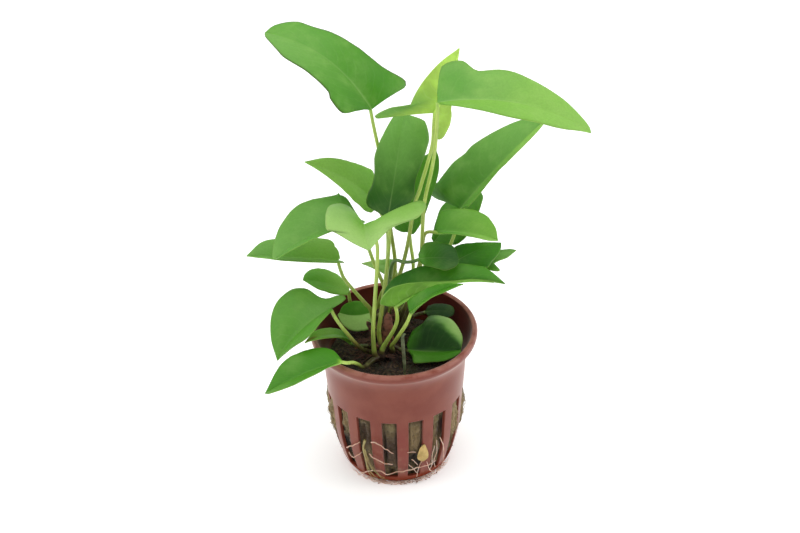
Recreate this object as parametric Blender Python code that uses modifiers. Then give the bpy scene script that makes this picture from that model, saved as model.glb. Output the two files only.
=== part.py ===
"""Potted anubias: a slotted net pot filled with growing wool, a rootstock and 25 leaves on stalks.

The pot stands on its base with the origin at the base's centre. +Z is up and the side with the
most leaves faces -Y. Sizes in this file are in millimetres, and the objects are made in metres.
"""
import math
from collections import namedtuple

import bmesh
import bpy
from mathutils import Vector

MM = 0.001
GAP = 0.3
LATHE_MERGE = 0.05

# Pot
POT_SEGMENTS = 48
POT_OUTER = ((25.0, 46.2), (24.9, 44.9), (23.4, 43.3), (21.8, 40.0), (21.3, 34.0), (20.5, 23.0),
             (19.8, 14.0), (18.4, 7.0), (17.2, 3.0), (15.3, 0.0))
POT_INNER = ((14.8, 1.4), (16.1, 3.2), (18.6, 14.0), (19.4, 23.0), (20.7, 39.4), (22.7, 44.3),
             (23.2, 47.0), (24.6, 47.0))
POT_SHARP_ANGLE = 35
SLOT_COUNT = 16
SLOT_FIRST = -6.0
SLOT_HALF_ANGLE = 6.25
SLOT_BOTTOM = 3.5
SLOT_TOP = 26.8
SLOT_CUT_INNER = 10.0
SLOT_CUT_OUTER = 26.0

# Wool
WOOL_SEGMENTS = 32
WOOL_PROFILE = ((0.0, 38.4), (11.0, 38.4), (17.0, 38.0), (20.0, 36.8), (19.0, 23.0), (18.2, 14.0),
                (15.6, 3.4), (14.4, 1.8), (0.0, 1.8))
PAD_HALF_ANGLE = 5.1
PAD_MARGIN = 0.35
PAD_INNER = 13.0
PAD_BOTTOM_RADIUS = 17.2
PAD_TOP_RADIUS = 20.4
PAD_BULGES = {3: 1.2, 12: 1.4, 13: 1.3}

# Rootstock
ROOTSTOCK_SIDES = 10
ROOTSTOCK = (
    ((-4.4, -6.6, 41.1), 1.3),
    ((-4.4, -5.4, 41.3), 2.1),
    ((-4.2, -2.5, 41.5), 2.5),
    ((-4.0, 1.0, 41.5), 2.6),
    ((-3.9, 4.5, 41.6), 2.5),
    ((-3.9, 8.0, 41.6), 2.6),
    ((-4.0, 12.0, 41.5), 2.5),
    ((-3.9, 14.5, 41.4), 2.3),
    ((-3.8, 16.2, 41.2), 1.4),
)

# Leaves. Each half of a blade is drawn by (along, out) points in its own plane: along the line from
# the base to the tip, and out from that line. The first point is the end of the basal lobe.
# face is the way the upper side looks, lift is how far the left and right halves fold up in
# degrees, and arch is how high the blade bows above the straight line from base to tip. curl is
# how far the outer part of each half bends on, in degrees, and droop is how steeply the lobes hang.
Leaf = namedtuple("Leaf", "base tip face lift arch left right stalk curl droop", defaults=((0, 0), 0.0))
BLADE_THICKNESS = 0.7
BLADE_ROWS = 8
SMALL_BLADE_ROWS = 6
SMALL_BLADE_LENGTH = 20
BLADE_COLUMNS = 2
MIDRIB_CROWDING = 1.35
TIP_HALF_WIDTH = 0.35
CURL_START = 0.5
BLADE_SHARP_ANGLE = 60
STALK_SIDES = 6
STALK_STEP_LENGTH = 8.0
STALK_FEWEST_STEPS = 3
STALK_FOOT_RADIUS = 0.75
STALK_HEAD_RADIUS = 0.52
STALK_CLEARANCE = 0.9
LEAVES = (
    Leaf(base=(-4.9, 12, 114.4), tip=(-34.6, 24, 133.4), face=(0.4, -0.35, 0.85), lift=(10, 10), arch=6,
         left=((2.9, 6.6), (5.4, 12.9), (10.4, 12.6), (12.1, 11), (21.1, 10.1), (26.2, 10),
               (29.4, 8.3), (35.6, 2.6)),
         right=((-3.1, 13.7), (-3.6, 15.7), (-2, 16.6), (6.3, 11.6), (21.5, 9), (25.7, 7.8),
                (29.4, 7.3), (32, 7.2), (36.2, 3.8)),
         stalk=((-4, 12.5, 44.6), (-1, 12.4, 52.2), (0.8, 12, 61.9), (-0.4, 11.5, 76.1),
                (-1, 11, 88.4), (-4.3, 12, 109.2))),
    Leaf(base=(12.9, 8, 115.1), tip=(20.5, 19, 129.8), face=(-0.15, 0.95, 0.25), lift=(3, 3), arch=-1,
         left=((-6.3, 4.5), (-5.9, 5.6), (-4.3, 6.4), (-1.1, 6.8), (1.8, 5.9), (4, 4.6), (12.3, 1.7)),
         right=((-8.1, 15.8), (-8.5, 17), (-7.5, 17.1), (-4.3, 14.1), (-2.6, 11), (-1.2, 8.4),
                (1.2, 8.4), (6.4, 7.7), (13.4, 4.7)),
         stalk=((-4, 2.2, 44.6), (3.5, 3, 69.2), (6.7, 4.2, 86.6), (8.4, 4.3, 92.2), (12, 4.1, 106),
                (12.6, 4.2, 112.4)),
         droop=0.2),
    Leaf(base=(13.5, -4, 124.6), tip=(56.2, -2, 112.9), face=(0.3, -0.15, 0.94), lift=(20, 2), arch=5,
         left=((-0.2, 3.7), (0.2, 11), (1.8, 13), (5.8, 13.2), (8.7, 10.5), (10.6, 9.7), (18.8, 10.3),
               (33.8, 6.4), (42.6, 2.3)),
         right=((1.6, 1.3), (14.1, 6), (21.4, 7.4), (33.3, 6)),
         stalk=((-0.3, 1, 41.5), (3.4, 1.5, 49.4), (6.5, 1.5, 59.4), (8.4, 1.4, 69.4),
                (9.5, 0.5, 88.8), (11.8, -1, 101.8), (12.9, -2.5, 110.7), (13.5, -3.8, 121.4))),
    Leaf(base=(20.5, 10, 81.9), tip=(46.7, 22, 105.3), face=(-0.55, -0.45, 0.7), lift=(5, 30), arch=1,
         left=((-1.8, 7.4), (-3.1, 11.2), (-3, 15.4), (0.4, 12.7), (2, 12.7), (8.4, 13.1),
               (12.7, 12.1), (16.2, 12), (25, 9.1), (32, 5.3)),
         right=((2, 3.3), (5.7, 3.6), (15.4, 2.6), (20.2, 3), (30.5, 2.6)),
         stalk=((-4, 10.2, 44.9), (8.4, 10.6, 53.9), (13.3, 10.9, 60.1), (16.7, 11, 67.1),
                (18.8, 10.8, 73.5), (19.9, 10.4, 78.6)),
         droop=0.6),
    Leaf(base=(-0.9, 2, 84.4), tip=(4.5, 16, 111.1), face=(0, -0.9, 0.35), lift=(0, 0), arch=3,
         left=((1, 2.5), (3.6, 7.1), (10.9, 6), (18.2, 6.6), (27.7, 3.6), (30.4, 1.3)),
         right=((1.7, 1.8), (6.7, 6.4), (11.9, 6.3), (21.9, 8.2), (24.8, 8.2), (28.4, 6.8), (29.5, 5.4)),
         stalk=((-4.3, -3.2, 44.4), (-4.5, -2.8, 48.3), (-3.5, -1.9, 54.9), (-1.1, 1.5, 72),
                (-0.6, 2.5, 81.4))),
    Leaf(base=(-3.8, 12, 82.1), tip=(-24.7, 11, 98.6), face=(0.55, -0.35, 0.75), lift=(10, 10), arch=3,
         left=((2.8, 5.5), (5.4, 7), (8.3, 6.6), (11.5, 6.1)),
         right=((4.2, 5.7), (6.3, 8.1), (9.9, 7.3), (20.3, 4.2)),
         stalk=((-4, 7.6, 44.6), (-2, 8.4, 58.6), (-1.1, 10, 72.5), (-2.1, 11, 78.2))),
    Leaf(base=(-8.7, 4, 82.4), tip=(-34.1, -2, 73.4), face=(-0.35, -0.05, 0.93), lift=(27, 28), arch=2,
         left=((-1, 6), (6, 9), (13, 9.5), (20, 7.5), (25, 3.5)),
         right=((0.5, 2.9), (1.1, 8.7), (2.7, 10.6), (2.7, 11.4), (3.9, 10.9), (14.2, 12), (20.6, 9.7),
                (24.9, 6), (27.6, 1.6)),
         stalk=((-0.3, 5.4, 41.5), (-2.4, 5, 57.3), (-5.3, 4.8, 66.8), (-7.8, 4.3, 76.7))),
    Leaf(base=(-7.6, -8, 88.5), tip=(-6.1, -24, 90.1), face=(0, 0.05, 1), lift=(15, 26), arch=0.6,
         left=((-0.2, 2.7), (-0.4, 5.5), (-0.3, 8.8), (-3, 11.2), (-5.9, 14.2), (-6.1, 16.5),
               (-4.5, 18), (-0.8, 18.6), (2.6, 17.9), (6.2, 15.8), (7.3, 13.9), (6.9, 11.6),
               (7.5, 8.4), (9.6, 5.5)),
         right=((-7.2, 1.6), (-12.9, 3.3), (-14.1, 5.3), (-12.8, 7), (-9.1, 9.3), (-4.4, 11),
                (0.8, 11.9), (10.6, 12.7), (13.2, 12.3), (12.8, 10.4), (15.1, 4.6)),
         stalk=((-6, -6.9, 43.1), (-6.1, -7.6, 51.8), (-5.4, -7.6, 60.7), (-4.1, -8.4, 78.2),
                (-4.4, -8.6, 83.8), (-6, -8.4, 87.1))),
    Leaf(base=(-16.1, 8, 66.1), tip=(-43.1, 6, 70), face=(0, -0.05, 1), lift=(30, 30), arch=0,
         left=((-1.5, 4), (5, 6.5), (13, 7), (20, 5.5), (25, 2.5)),
         right=((-0.6, 1), (0, 3.6), (1.1, 5), (1.5, 6.3), (4.5, 7.3), (14.4, 7), (22.3, 5.2)),
         stalk=((-5.9, 4.7, 44), (-6.9, 4.8, 50.3), (-8.5, 5.2, 52.6), (-14, 7, 59.5),
                (-15.4, 7.6, 62.8))),
    Leaf(base=(-13.4, 12.5, 52), tip=(-27.5, 13.5, 56), face=(0.15, -0.3, 0.94), lift=(12, 12), arch=1,
         left=((0.4, 2.1), (3.2, 3.5), (6.7, 4), (9.9, 3.4)),
         right=((0.3, 1.2), (4.3, 4), (9.7, 4.9), (12.6, 4), (14.2, 2.1)),
         stalk=((-7.6, 13, 41.5), (-10.5, 14.7, 40.5), (-12.7, 14.9, 44.2), (-13.4, 14, 48.2))),
    Leaf(base=(-18.3, -8, 60), tip=(-34.2, -16, 47.5), face=(-0.5, -0.3, 0.8), lift=(25, 20), arch=2,
         left=((-0.5, 1.6), (3.4, 5), (7.6, 7.9), (12, 7.4)),
         right=((-3.2, 0.3), (-4.8, 0.3), (-5.6, 1.3), (-4.3, 2.8), (-1.3, 3.6), (0.1, 5.7),
                (1.4, 10.6), (5.9, 12.8), (12.6, 11.4), (18.3, 6.3)),
         stalk=((-7.7, -4.2, 41.5), (-10.5, -5.6, 44.3), (-14.3, -8.8, 52.5), (-16.2, -9.2, 56.1),
                (-17.3, -8.9, 58.2))),
    Leaf(base=(-15.4, -21, 50.5), tip=(-37.3, -29, 45.6), face=(-0.2, -0.15, 0.96), lift=(32, 25),
         arch=1,
         left=((2.7, 1.7), (10.2, 7), (14.5, 8), (18.9, 6.2), (22.6, 3.1)),
         right=((-0.4, 0.6), (1.3, 4.8), (7.5, 7), (15.8, 5.9)),
         stalk=((-7, -8.2, 40.9), (-8.4, -10.8, 41.2), (-9.5, -14, 43), (-10.6, -17, 46.3),
                (-12, -19.2, 48.7), (-13.7, -20.4, 49.5))),
    Leaf(base=(-6.9, 10, 45.7), tip=(-16.7, 10, 46), face=(0, -0.1, 1), lift=(-25, 50), arch=-1.2,
         left=((-0.3, 2.6), (0, 4.3), (1.3, 5.5), (7.4, 4.5), (10, 1.2)),
         right=((-0.3, 1.5), (0.8, 3), (2.5, 4.1), (4.9, 4.6), (7, 4), (8.7, 2.4)),
         stalk=((-7.6, 9.8, 41.5), (-7.3, 10, 43.2))),
    Leaf(base=(-12.9, -3.2, 44.1), tip=(-26.4, -11, 50), face=(0, -0.1, 1), lift=(20, 20), arch=3,
         left=((2, 2), (6, 3), (10, 3)),
         right=((-0.5, 1.9), (0.8, 2.7), (2.9, 2.9), (10.1, 2.5), (13.3, 2.2)),
         stalk=((-7.7, -1.4, 41.5), (-11.1, -2.2, 42.3))),
    Leaf(base=(0.5, -8.5, 60.8), tip=(32.6, -9.5, 68.3), face=(-0.25, 0.1, 0.96), lift=(45, 62), arch=4,
         left=((-2.8, 4.6), (-2.9, 5.9), (-0.4, 7.7), (5.2, 7.8), (24.7, 4.8), (28.4, 4)),
         right=((-1.7, 1.9), (-3.4, 5.1), (-3.2, 6.6), (-0.4, 8.5), (2.8, 8.1), (15.9, 1.4), (24.5, 0.9)),
         stalk=((-2.5, -6.6, 42.9), (-2.9, -6.5, 45.4), (-0.1, -7.5, 51.5), (1, -8.1, 55.2),
                (1, -8.6, 58.7))),
    Leaf(base=(4.9, -15, 62.7), tip=(20.2, -16, 73), face=(-0.5, -0.2, 0.85), lift=(25, 35), arch=2,
         left=((0.2, 1.8), (0.5, 3.6), (1.7, 3.6), (11.4, 2.4)),
         right=((2, 4), (5, 4.5), (10, 4.5), (15, 3)),
         stalk=((-0.5, -4.2, 41.5), (-0.8, -7.5, 45.7), (0.4, -9.5, 49.1), (3.5, -13.5, 57.5),
                (4.5, -14.5, 60.7))),
    Leaf(base=(7.8, -4, 74), tip=(19.3, -6, 75), face=(0.1, -0.45, 0.89), lift=(5, 5), arch=0.5,
         left=((-0.3, 1.6), (0.8, 4.4), (2.9, 5.5), (8.8, 4.4), (10.6, 2.8)),
         right=((0.7, 1.5), (2.4, 2.8), (7.6, 4.4), (10.3, 3.5), (11.5, 1.8)),
         stalk=((-3.1, -0.9, 44.6), (-2.3, 0.8, 52.2), (-1.3, 1.6, 58.9), (-0.6, 1.5, 65.3),
                (0.1, 0.6, 69.6), (1.3, -0.6, 71.5), (3.4, -2.1, 71.8), (5.8, -3.2, 72.6))),
    Leaf(base=(18.6, 6, 66), tip=(32.6, 10, 69.8), face=(-0.1, -0.3, 0.95), lift=(5, 5), arch=1,
         left=((0.6, 2.4), (1.5, 4.5), (4.5, 4.4)),
         right=((0.9, 3.4), (4.1, 6.2), (7.7, 7.9), (9.3, 6.5), (11.5, 5), (13.9, 2.3)),
         stalk=((-0.3, 9.5, 41.5), (3, 8.7, 48), (9, 7.5, 57), (14, 6.5, 63))),
    Leaf(base=(23.8, 10, 63.3), tip=(37.3, 12, 65.7), face=(-0.1, -0.2, 0.97), lift=(5, 5), arch=1,
         left=((2.6, 2.6), (9.3, 1.1), (12, 0.8)),
         right=((1.6, 4.1), (5.2, 7.6), (7, 7.8), (5.8, 5), (7.3, 3.9), (10.1, 3.2)),
         stalk=((-0.3, 11.6, 41.5), (4, 12.8, 47), (11, 12.8, 54), (19, 11, 60.5))),
    Leaf(base=(13.1, 2, 79.3), tip=(30.9, -1, 77.6), face=(0, -0.05, 1), lift=(30, 20), arch=1,
         left=((-0.3, 1.9), (-0.4, 4.2), (0, 6.3), (1.6, 7.4), (7.5, 8), (12.7, 7.3), (16.5, 4)),
         right=((2.6, 2), (7.5, 2.8), (13.9, 3.1), (16.2, 2.1)),
         stalk=((-0.3, 3.3, 41.5), (3.1, 4, 50.6), (6.3, 4.1, 59.5), (8.5, 4, 69.8), (9.5, 3.3, 77.3),
                (10.9, 2.7, 78.9))),
    Leaf(base=(12.6, 16, 66.5), tip=(27.4, 24, 79.1), face=(-0.5, -0.5, 0.7), lift=(5, 5), arch=1,
         left=((0.6, 1.7), (7.6, 5.4), (11.5, 6.1), (18.5, 3.5)),
         right=((0.8, 2.4), (5.2, 8.1), (12, 7.3), (19.4, 2.6)),
         stalk=((-0.6, 16, 41.4), (3, 16.8, 46.5), (8, 17.2, 54), (11, 16.8, 60.5))),
    Leaf(base=(5.2, 14, 71.9), tip=(13.6, 18, 97.8), face=(-0.3, -0.8, 0.5), lift=(0, 0), arch=1,
         left=((-1, 2.2), (-0.9, 4.6), (0.8, 5.7), (5.3, 6.6), (16.3, 5.9), (22.3, 4)),
         right=((-0.3, 1.1), (0.9, 2.1), (7.1, 3.4), (18.8, 3.6), (24.6, 2.2)),
         stalk=((-0.4, 13.8, 41.5), (2.3, 13.9, 45.2), (4.8, 14.1, 50.9), (6.1, 14.3, 56.6),
                (6.2, 14.3, 61.7), (5.7, 14.2, 66.4))),
    Leaf(base=(0.4, 17, 57.5), tip=(-9.6, 18, 58.4), face=(0, -0.5, 0.87), lift=(5, 5), arch=0.5,
         left=((-1.1, 1.9), (-0.4, 3.5), (1.4, 3.6)),
         right=((-0.5, 1.6), (0.9, 2.5), (4.8, 1.8)),
         stalk=((-5, 17.6, 41.4), (-3.5, 18.5, 47), (-0.5, 18.6, 52), (1, 17.8, 54.4))),
    Leaf(base=(4.2, -3.5, 41.2), tip=(19.9, -7.6, 43.7), face=(0, -0.15, 0.99), lift=(45, 12), arch=-1.0,
         left=((-0.7, 1.9), (-0.3, 5), (0.8, 8.8), (3.9, 13.3), (4.5, 15.3), (6, 15.9), (8.8, 15.7),
               (12.2, 13.7), (14.8, 9.4), (16.3, 5.1)),
         right=((0.9, 1.6), (2, 3.2), (2.6, 5.4), (4, 5.4), (7.5, 4.6), (12, 4.2), (16.1, 1.5)),
         stalk=((-0.4, -1.7, 41.4), (2.2, -2.4, 40.4)),
         curl=(-40, -20)),
    Leaf(base=(9.5, 10.5, 45.1), tip=(18.7, 11, 44.8), face=(0, -0.4, 0.9), lift=(0, 0), arch=0.5,
         left=((1.1, 2), (3.6, 2.6), (6.9, 2.4), (8.7, 1.4)),
         right=((0.8, 1.7), (3.2, 2.7), (6.6, 2.6), (8.5, 1.5)),
         stalk=((-0.3, 7.4, 41.5), (1.5, 8.1, 42.9), (5.8, 9.8, 44.2))),
)

# Roots that hang out of the slots. Each point is an angle round the pot in degrees from its front
# towards +X, a height, and how far the root's centre lies off the wall.
ROOTS = (
    (0.40, ((-50, 11.7, 0.4), (-46, 13.2, 0.8), (-41, 14.6, 0.85), (-37, 16.2, 0.8), (-32.5, 17.6, 0.4))),
    (0.35, ((-49, 9.8, 0.4), (-45, 9.4, 0.75), (-40, 10.2, 0.8), (-36, 11.9, 0.75), (-32, 13.3, 0.4))),
    (0.75, ((-27, 19.6, 0.6), (-28.6, 16, 1.0), (-27.5, 12.5, 1.15), (-28, 8.2, 0.9))),
    (0.40, ((-23.6, 14.4, 0.9), (-20, 12.7, 0.9), (-14, 11.8, 0.85), (-9, 10.7, 0.7), (-4, 10.3, 0.4))),
    (0.35, ((-21.5, 19.3, 0.8), (-18.5, 19.6, 0.85), (-15.5, 19.2, 0.85), (-11.5, 17.9, 0.8),
            (-7, 16.2, 0.4), (-3, 15, 0.35))),
    (0.40, ((-39, 2.4, 0.85), (-32, 4.6, 0.85), (-25, 6.2, 0.8), (-16.3, 6.7, 0.75), (-9, 5.6, 0.75),
            (-0.5, 6.9, 0.8), (9.5, 7.2, 0.75), (20, 7.9, 0.75), (30, 7.2, 0.75), (38.5, 7.4, 0.3))),
    (0.35, ((39.5, 17.4, 0.3), (43.5, 13.5, 0.6), (46, 9, 0.75), (49, 4.6, 0.75))),
)
ROOT_SIDES = 6

COLOURS = {
    "pot": ((0.30, 0.115, 0.085), 0.42),
    "wool": ((0.085, 0.075, 0.040), 0.95),
    "rootstock": ((0.10, 0.055, 0.025), 0.85),
    "leaf": ((0.10, 0.30, 0.04), 0.35),
    "stalk": ((0.30, 0.38, 0.09), 0.40),
    "root": ((0.52, 0.34, 0.20), 0.60),
}


def make_material(name):
    colour, roughness = COLOURS[name]
    material = bpy.data.materials.new(name)
    material.use_nodes = True
    shader = material.node_tree.nodes["Principled BSDF"]
    shader.inputs["Base Color"].default_value = (*colour, 1.0)
    shader.inputs["Roughness"].default_value = roughness
    return material


def add_mesh(name, bm, material, collection):
    bmesh.ops.recalc_face_normals(bm, faces=bm.faces)
    mesh = bpy.data.meshes.new(name)
    bm.to_mesh(mesh)
    bm.free()
    obj = bpy.data.objects.new(name, mesh)
    mesh.materials.append(material)
    collection.objects.link(obj)
    return obj


def shade_smooth(obj, angle=POT_SHARP_ANGLE):
    obj.data.polygons.foreach_set("use_smooth", [True] * len(obj.data.polygons))
    obj.data.set_sharp_from_angle(angle=math.radians(angle))


def smooth_path(points, per_span=8):
    """Dense points on a smooth curve through the given ones."""
    ends = [tuple(2 * a - b for a, b in zip(points[0], points[1]))]
    ends += list(points)
    ends += [tuple(2 * a - b for a, b in zip(points[-1], points[-2]))]
    dense = [points[0]]
    for p0, p1, p2, p3 in zip(ends, ends[1:], ends[2:], ends[3:]):
        for step in range(1, per_span + 1):
            t = step / per_span
            dense.append(tuple(
                0.5 * (2 * b + (c - a) * t + (2 * a - 5 * b + 4 * c - d) * t * t
                       + (3 * b - a - 3 * c + d) * t ** 3)
                for a, b, c, d in zip(p0, p1, p2, p3)))
    return dense


def path_length(points):
    return sum(math.dist(a, b) for a, b in zip(points, points[1:]))


def resample(points, count):
    """count + 1 points at even distances along a path."""
    lengths = [0.0]
    for a, b in zip(points, points[1:]):
        lengths.append(lengths[-1] + math.dist(a, b))
    result = []
    span = 0
    for step in range(count + 1):
        target = lengths[-1] * step / count
        while span < len(points) - 2 and lengths[span + 1] < target:
            span += 1
        part = (target - lengths[span]) / (lengths[span + 1] - lengths[span])
        result.append(tuple(a + (b - a) * part for a, b in zip(points[span], points[span + 1])))
    return result


def add_tube(name, points, radii, sides, material, collection):
    curve = bpy.data.curves.new(name, "CURVE")
    curve.dimensions = "3D"
    curve.bevel_mode = "ROUND"
    curve.bevel_resolution = (sides - 4) // 2
    curve.bevel_depth = MM
    curve.use_fill_caps = True
    spline = curve.splines.new("POLY")
    spline.points.add(len(points) - 1)
    for spline_point, position, radius in zip(spline.points, points, radii):
        spline_point.co = (*(value * MM for value in position), 1.0)
        spline_point.radius = radius
    curve.materials.append(material)
    obj = bpy.data.objects.new(name, curve)
    collection.objects.link(obj)
    return obj


def lathe(name, profile, segments, material, collection):
    bm = bmesh.new()
    verts = [bm.verts.new((radius * MM, 0.0, height * MM)) for radius, height in profile]
    for a, b in zip(verts, verts[1:]):
        bm.edges.new((a, b))
    mesh = bpy.data.meshes.new(name)
    bm.to_mesh(mesh)
    bm.free()
    obj = bpy.data.objects.new(name, mesh)
    mesh.materials.append(material)
    collection.objects.link(obj)
    screw = obj.modifiers.new("Lathe", "SCREW")
    screw.steps = segments
    screw.render_steps = segments
    screw.use_merge_vertices = True
    screw.merge_threshold = LATHE_MERGE * MM
    screw.use_normal_calculate = True
    return obj


def polar(angle, radius, height):
    """Point at an angle in degrees from the pot's front (-Y) towards +X, in millimetres."""
    turn = math.radians(angle)
    return Vector((radius * math.sin(turn), -radius * math.cos(turn), height))


def slot_angle(index):
    return SLOT_FIRST + index * 360.0 / SLOT_COUNT


def add_block(bm, angle, half_angle, inner, outer_low, outer_high, low, high):
    """Closed wedge of eight corners that points out from the pot's axis."""
    corners = []
    for height, outer in ((low, outer_low), (high, outer_high)):
        for side, radius in ((-1, inner), (-1, outer), (1, outer), (1, inner)):
            corners.append(bm.verts.new(polar(angle + side * half_angle, radius, height) * MM))
    for face in ((0, 1, 2, 3), (7, 6, 5, 4), (0, 4, 5, 1), (1, 5, 6, 2), (2, 6, 7, 3), (3, 7, 4, 0)):
        bm.faces.new([corners[index] for index in face])


def add_boolean(obj, tool, operation):
    boolean = obj.modifiers.new(operation.title(), "BOOLEAN")
    boolean.operation = operation
    boolean.solver = "EXACT"
    boolean.object = tool
    tool.hide_render = True
    tool.display_type = "WIRE"


def make_pot(material, collection, cutters):
    profile = ((0.0, POT_INNER[0][1]), *POT_INNER, *POT_OUTER, (0.0, 0.0))
    pot = lathe("pot", profile, POT_SEGMENTS, material, collection)
    bm = bmesh.new()
    for index in range(SLOT_COUNT):
        add_block(bm, slot_angle(index), SLOT_HALF_ANGLE, SLOT_CUT_INNER, SLOT_CUT_OUTER,
                  SLOT_CUT_OUTER, SLOT_BOTTOM, SLOT_TOP)
    add_boolean(pot, add_mesh("slot_cutter", bm, material, cutters), "DIFFERENCE")
    return pot


def make_wool(material, collection, cutters):
    wool = lathe("wool", WOOL_PROFILE, WOOL_SEGMENTS, material, collection)
    bm = bmesh.new()
    for index in range(SLOT_COUNT):
        bulge = PAD_BULGES.get(index, 0.0)
        add_block(bm, slot_angle(index), PAD_HALF_ANGLE, PAD_INNER, PAD_BOTTOM_RADIUS,
                  PAD_TOP_RADIUS + bulge, SLOT_BOTTOM + PAD_MARGIN, SLOT_TOP - PAD_MARGIN)
    add_boolean(wool, add_mesh("wool_pads", bm, material, cutters), "UNION")
    return wool


def make_rootstock(material, collection):
    points = [position for position, _ in ROOTSTOCK]
    radii = [radius for _, radius in ROOTSTOCK]
    return add_tube("rhizome", points, radii, ROOTSTOCK_SIDES, material, collection)


def leaf_frame(leaf):
    base = Vector(leaf.base)
    along = Vector(leaf.tip) - base
    length = along.length
    along.normalize()
    up = Vector(leaf.face)
    up = (up - along * up.dot(along)).normalized()
    return base, along, up, along.cross(up), length


def place(leaf, side, a, out, edge_out):
    """Position of a point of the blade: a along, and out to one side (1 is right, -1 is left).

    edge_out is how far out the edge lies there.
    """
    base, along, up, right, length = leaf_frame(leaf)
    part = a / length
    bow = 4 * leaf.arch * part * (1 - part) if a > 0 else (4 * leaf.arch / length + leaf.droop) * a
    fold, curl = (math.radians(pair[side > 0]) for pair in (leaf.lift, leaf.curl))
    rise = out * math.sin(fold) + math.tan(curl) * max(0.0, out - edge_out * CURL_START)
    return base + along * a + up * (bow + rise) + right * (side * out * math.cos(fold))


def half_edge(points, length, rows):
    """Edge of one half of a blade, from the lobe to the tip."""
    outline = (*points, (length, TIP_HALF_WIDTH))
    return resample(smooth_path(outline), rows)


def make_leaf(name, leaf, material, collection):
    length = leaf_frame(leaf)[4]
    count = SMALL_BLADE_ROWS if length < SMALL_BLADE_LENGTH else BLADE_ROWS
    left = half_edge(leaf.left, length, count)
    right = half_edge(leaf.right, length, count)
    bm = bmesh.new()
    rows = []
    for step in range(count + 1):
        middle = length * (step / count) ** MIDRIB_CROWDING
        row = []
        for column in range(-BLADE_COLUMNS, BLADE_COLUMNS + 1):
            part = abs(column) / BLADE_COLUMNS
            side, edge = (1, right[step]) if column > 0 else (-1, left[step])
            a = middle + (edge[0] - middle) * part
            row.append(bm.verts.new(place(leaf, side, a, edge[1] * part, edge[1]) * MM))
        rows.append(row)
    for low, high in zip(rows, rows[1:]):
        for column in range(2 * BLADE_COLUMNS):
            bm.faces.new((low[column], high[column], high[column + 1], low[column + 1]))
    blade = add_mesh(name, bm, material, collection)
    solidify = blade.modifiers.new("Thickness", "SOLIDIFY")
    solidify.thickness = BLADE_THICKNESS * MM
    solidify.offset = 0.0
    shade_smooth(blade, BLADE_SHARP_ANGLE)
    return blade


def make_stalk(name, leaf, material, collection):
    base, _, up, _, _ = leaf_frame(leaf)
    arrival = (base - Vector(leaf.stalk[-1])).normalized()
    head = base - arrival * STALK_CLEARANCE - up * (BLADE_THICKNESS + GAP)
    route = smooth_path((*leaf.stalk, tuple(head)))
    steps = max(STALK_FEWEST_STEPS, round(path_length(route) / STALK_STEP_LENGTH))
    path = resample(route, steps)
    taper = STALK_HEAD_RADIUS - STALK_FOOT_RADIUS
    radii = [STALK_FOOT_RADIUS + taper * step / steps for step in range(steps + 1)]
    return add_tube(name, path, radii, STALK_SIDES, material, collection)


def wall_radius(height):
    """Outer radius of the pot's wall at a height."""
    wall = sorted((h, r) for r, h in POT_OUTER)
    for (h0, r0), (h1, r1) in zip(wall, wall[1:]):
        if height <= h1:
            return r0 + (r1 - r0) * (height - h0) / (h1 - h0)
    return wall[-1][1]


def make_root(name, radius, points, material, collection):
    path = [tuple(polar(angle, wall_radius(height) + off, height)) for angle, height, off in points]
    path = resample(smooth_path(path), len(points) + 2)
    return add_tube(name, path, [radius] * len(path), ROOT_SIDES, material, collection)


def build():
    for obj in list(bpy.data.objects):
        bpy.data.objects.remove(obj)
    plant = bpy.data.collections.new("potted_anubias")
    cutters = bpy.data.collections.new("cutters")
    for collection in (plant, cutters):
        bpy.context.scene.collection.children.link(collection)
    pot = make_pot(make_material("pot"), plant, cutters)
    wool = make_wool(make_material("wool"), plant, cutters)
    for obj in (pot, wool):
        shade_smooth(obj)
    make_rootstock(make_material("rootstock"), plant)
    leaf_material = make_material("leaf")
    stalk_material = make_material("stalk")
    for number, leaf in enumerate(LEAVES, start=1):
        make_leaf(f"leaf_{number:02d}", leaf, leaf_material, plant)
        make_stalk(f"stalk_{number:02d}", leaf, stalk_material, plant)
    root_material = make_material("root")
    for number, (radius, points) in enumerate(ROOTS, start=1):
        make_root(f"root_{number}", radius, points, root_material, plant)


build()
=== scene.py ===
"""Looks of the potted anubias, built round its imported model.

Blades get their midrib, veins and waves, stalks run on into the midribs, and the pot, the wool,
the rootstock and the roots get their fine surface. Sizes are in millimetres and scaled by MM.
"""
import math
import random
from collections import namedtuple

import bmesh
import bpy
from mathutils import Matrix, Vector, noise

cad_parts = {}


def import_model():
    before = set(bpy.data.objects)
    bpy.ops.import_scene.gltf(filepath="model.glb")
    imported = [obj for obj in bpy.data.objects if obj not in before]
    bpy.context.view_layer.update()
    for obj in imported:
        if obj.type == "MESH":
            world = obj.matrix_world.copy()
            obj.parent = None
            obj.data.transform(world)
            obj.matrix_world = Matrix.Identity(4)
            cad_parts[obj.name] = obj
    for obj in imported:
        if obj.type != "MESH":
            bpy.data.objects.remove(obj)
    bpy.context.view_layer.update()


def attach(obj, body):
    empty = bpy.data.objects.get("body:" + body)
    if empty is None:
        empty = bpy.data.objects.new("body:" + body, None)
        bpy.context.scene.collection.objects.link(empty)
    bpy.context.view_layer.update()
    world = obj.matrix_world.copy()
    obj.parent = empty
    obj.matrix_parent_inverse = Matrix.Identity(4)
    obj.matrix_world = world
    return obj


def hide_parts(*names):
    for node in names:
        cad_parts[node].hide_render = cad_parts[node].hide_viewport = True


MM = 0.001

# Camera, at the photograph's angle
CAMERA_AIM = (2.25, 0.0, 68.9)
CAMERA_DISTANCE = 500.0
CAMERA_ELEVATION = 33.5
CAMERA_ROLL = -1.4
CAMERA_LENS = 77.0

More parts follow.
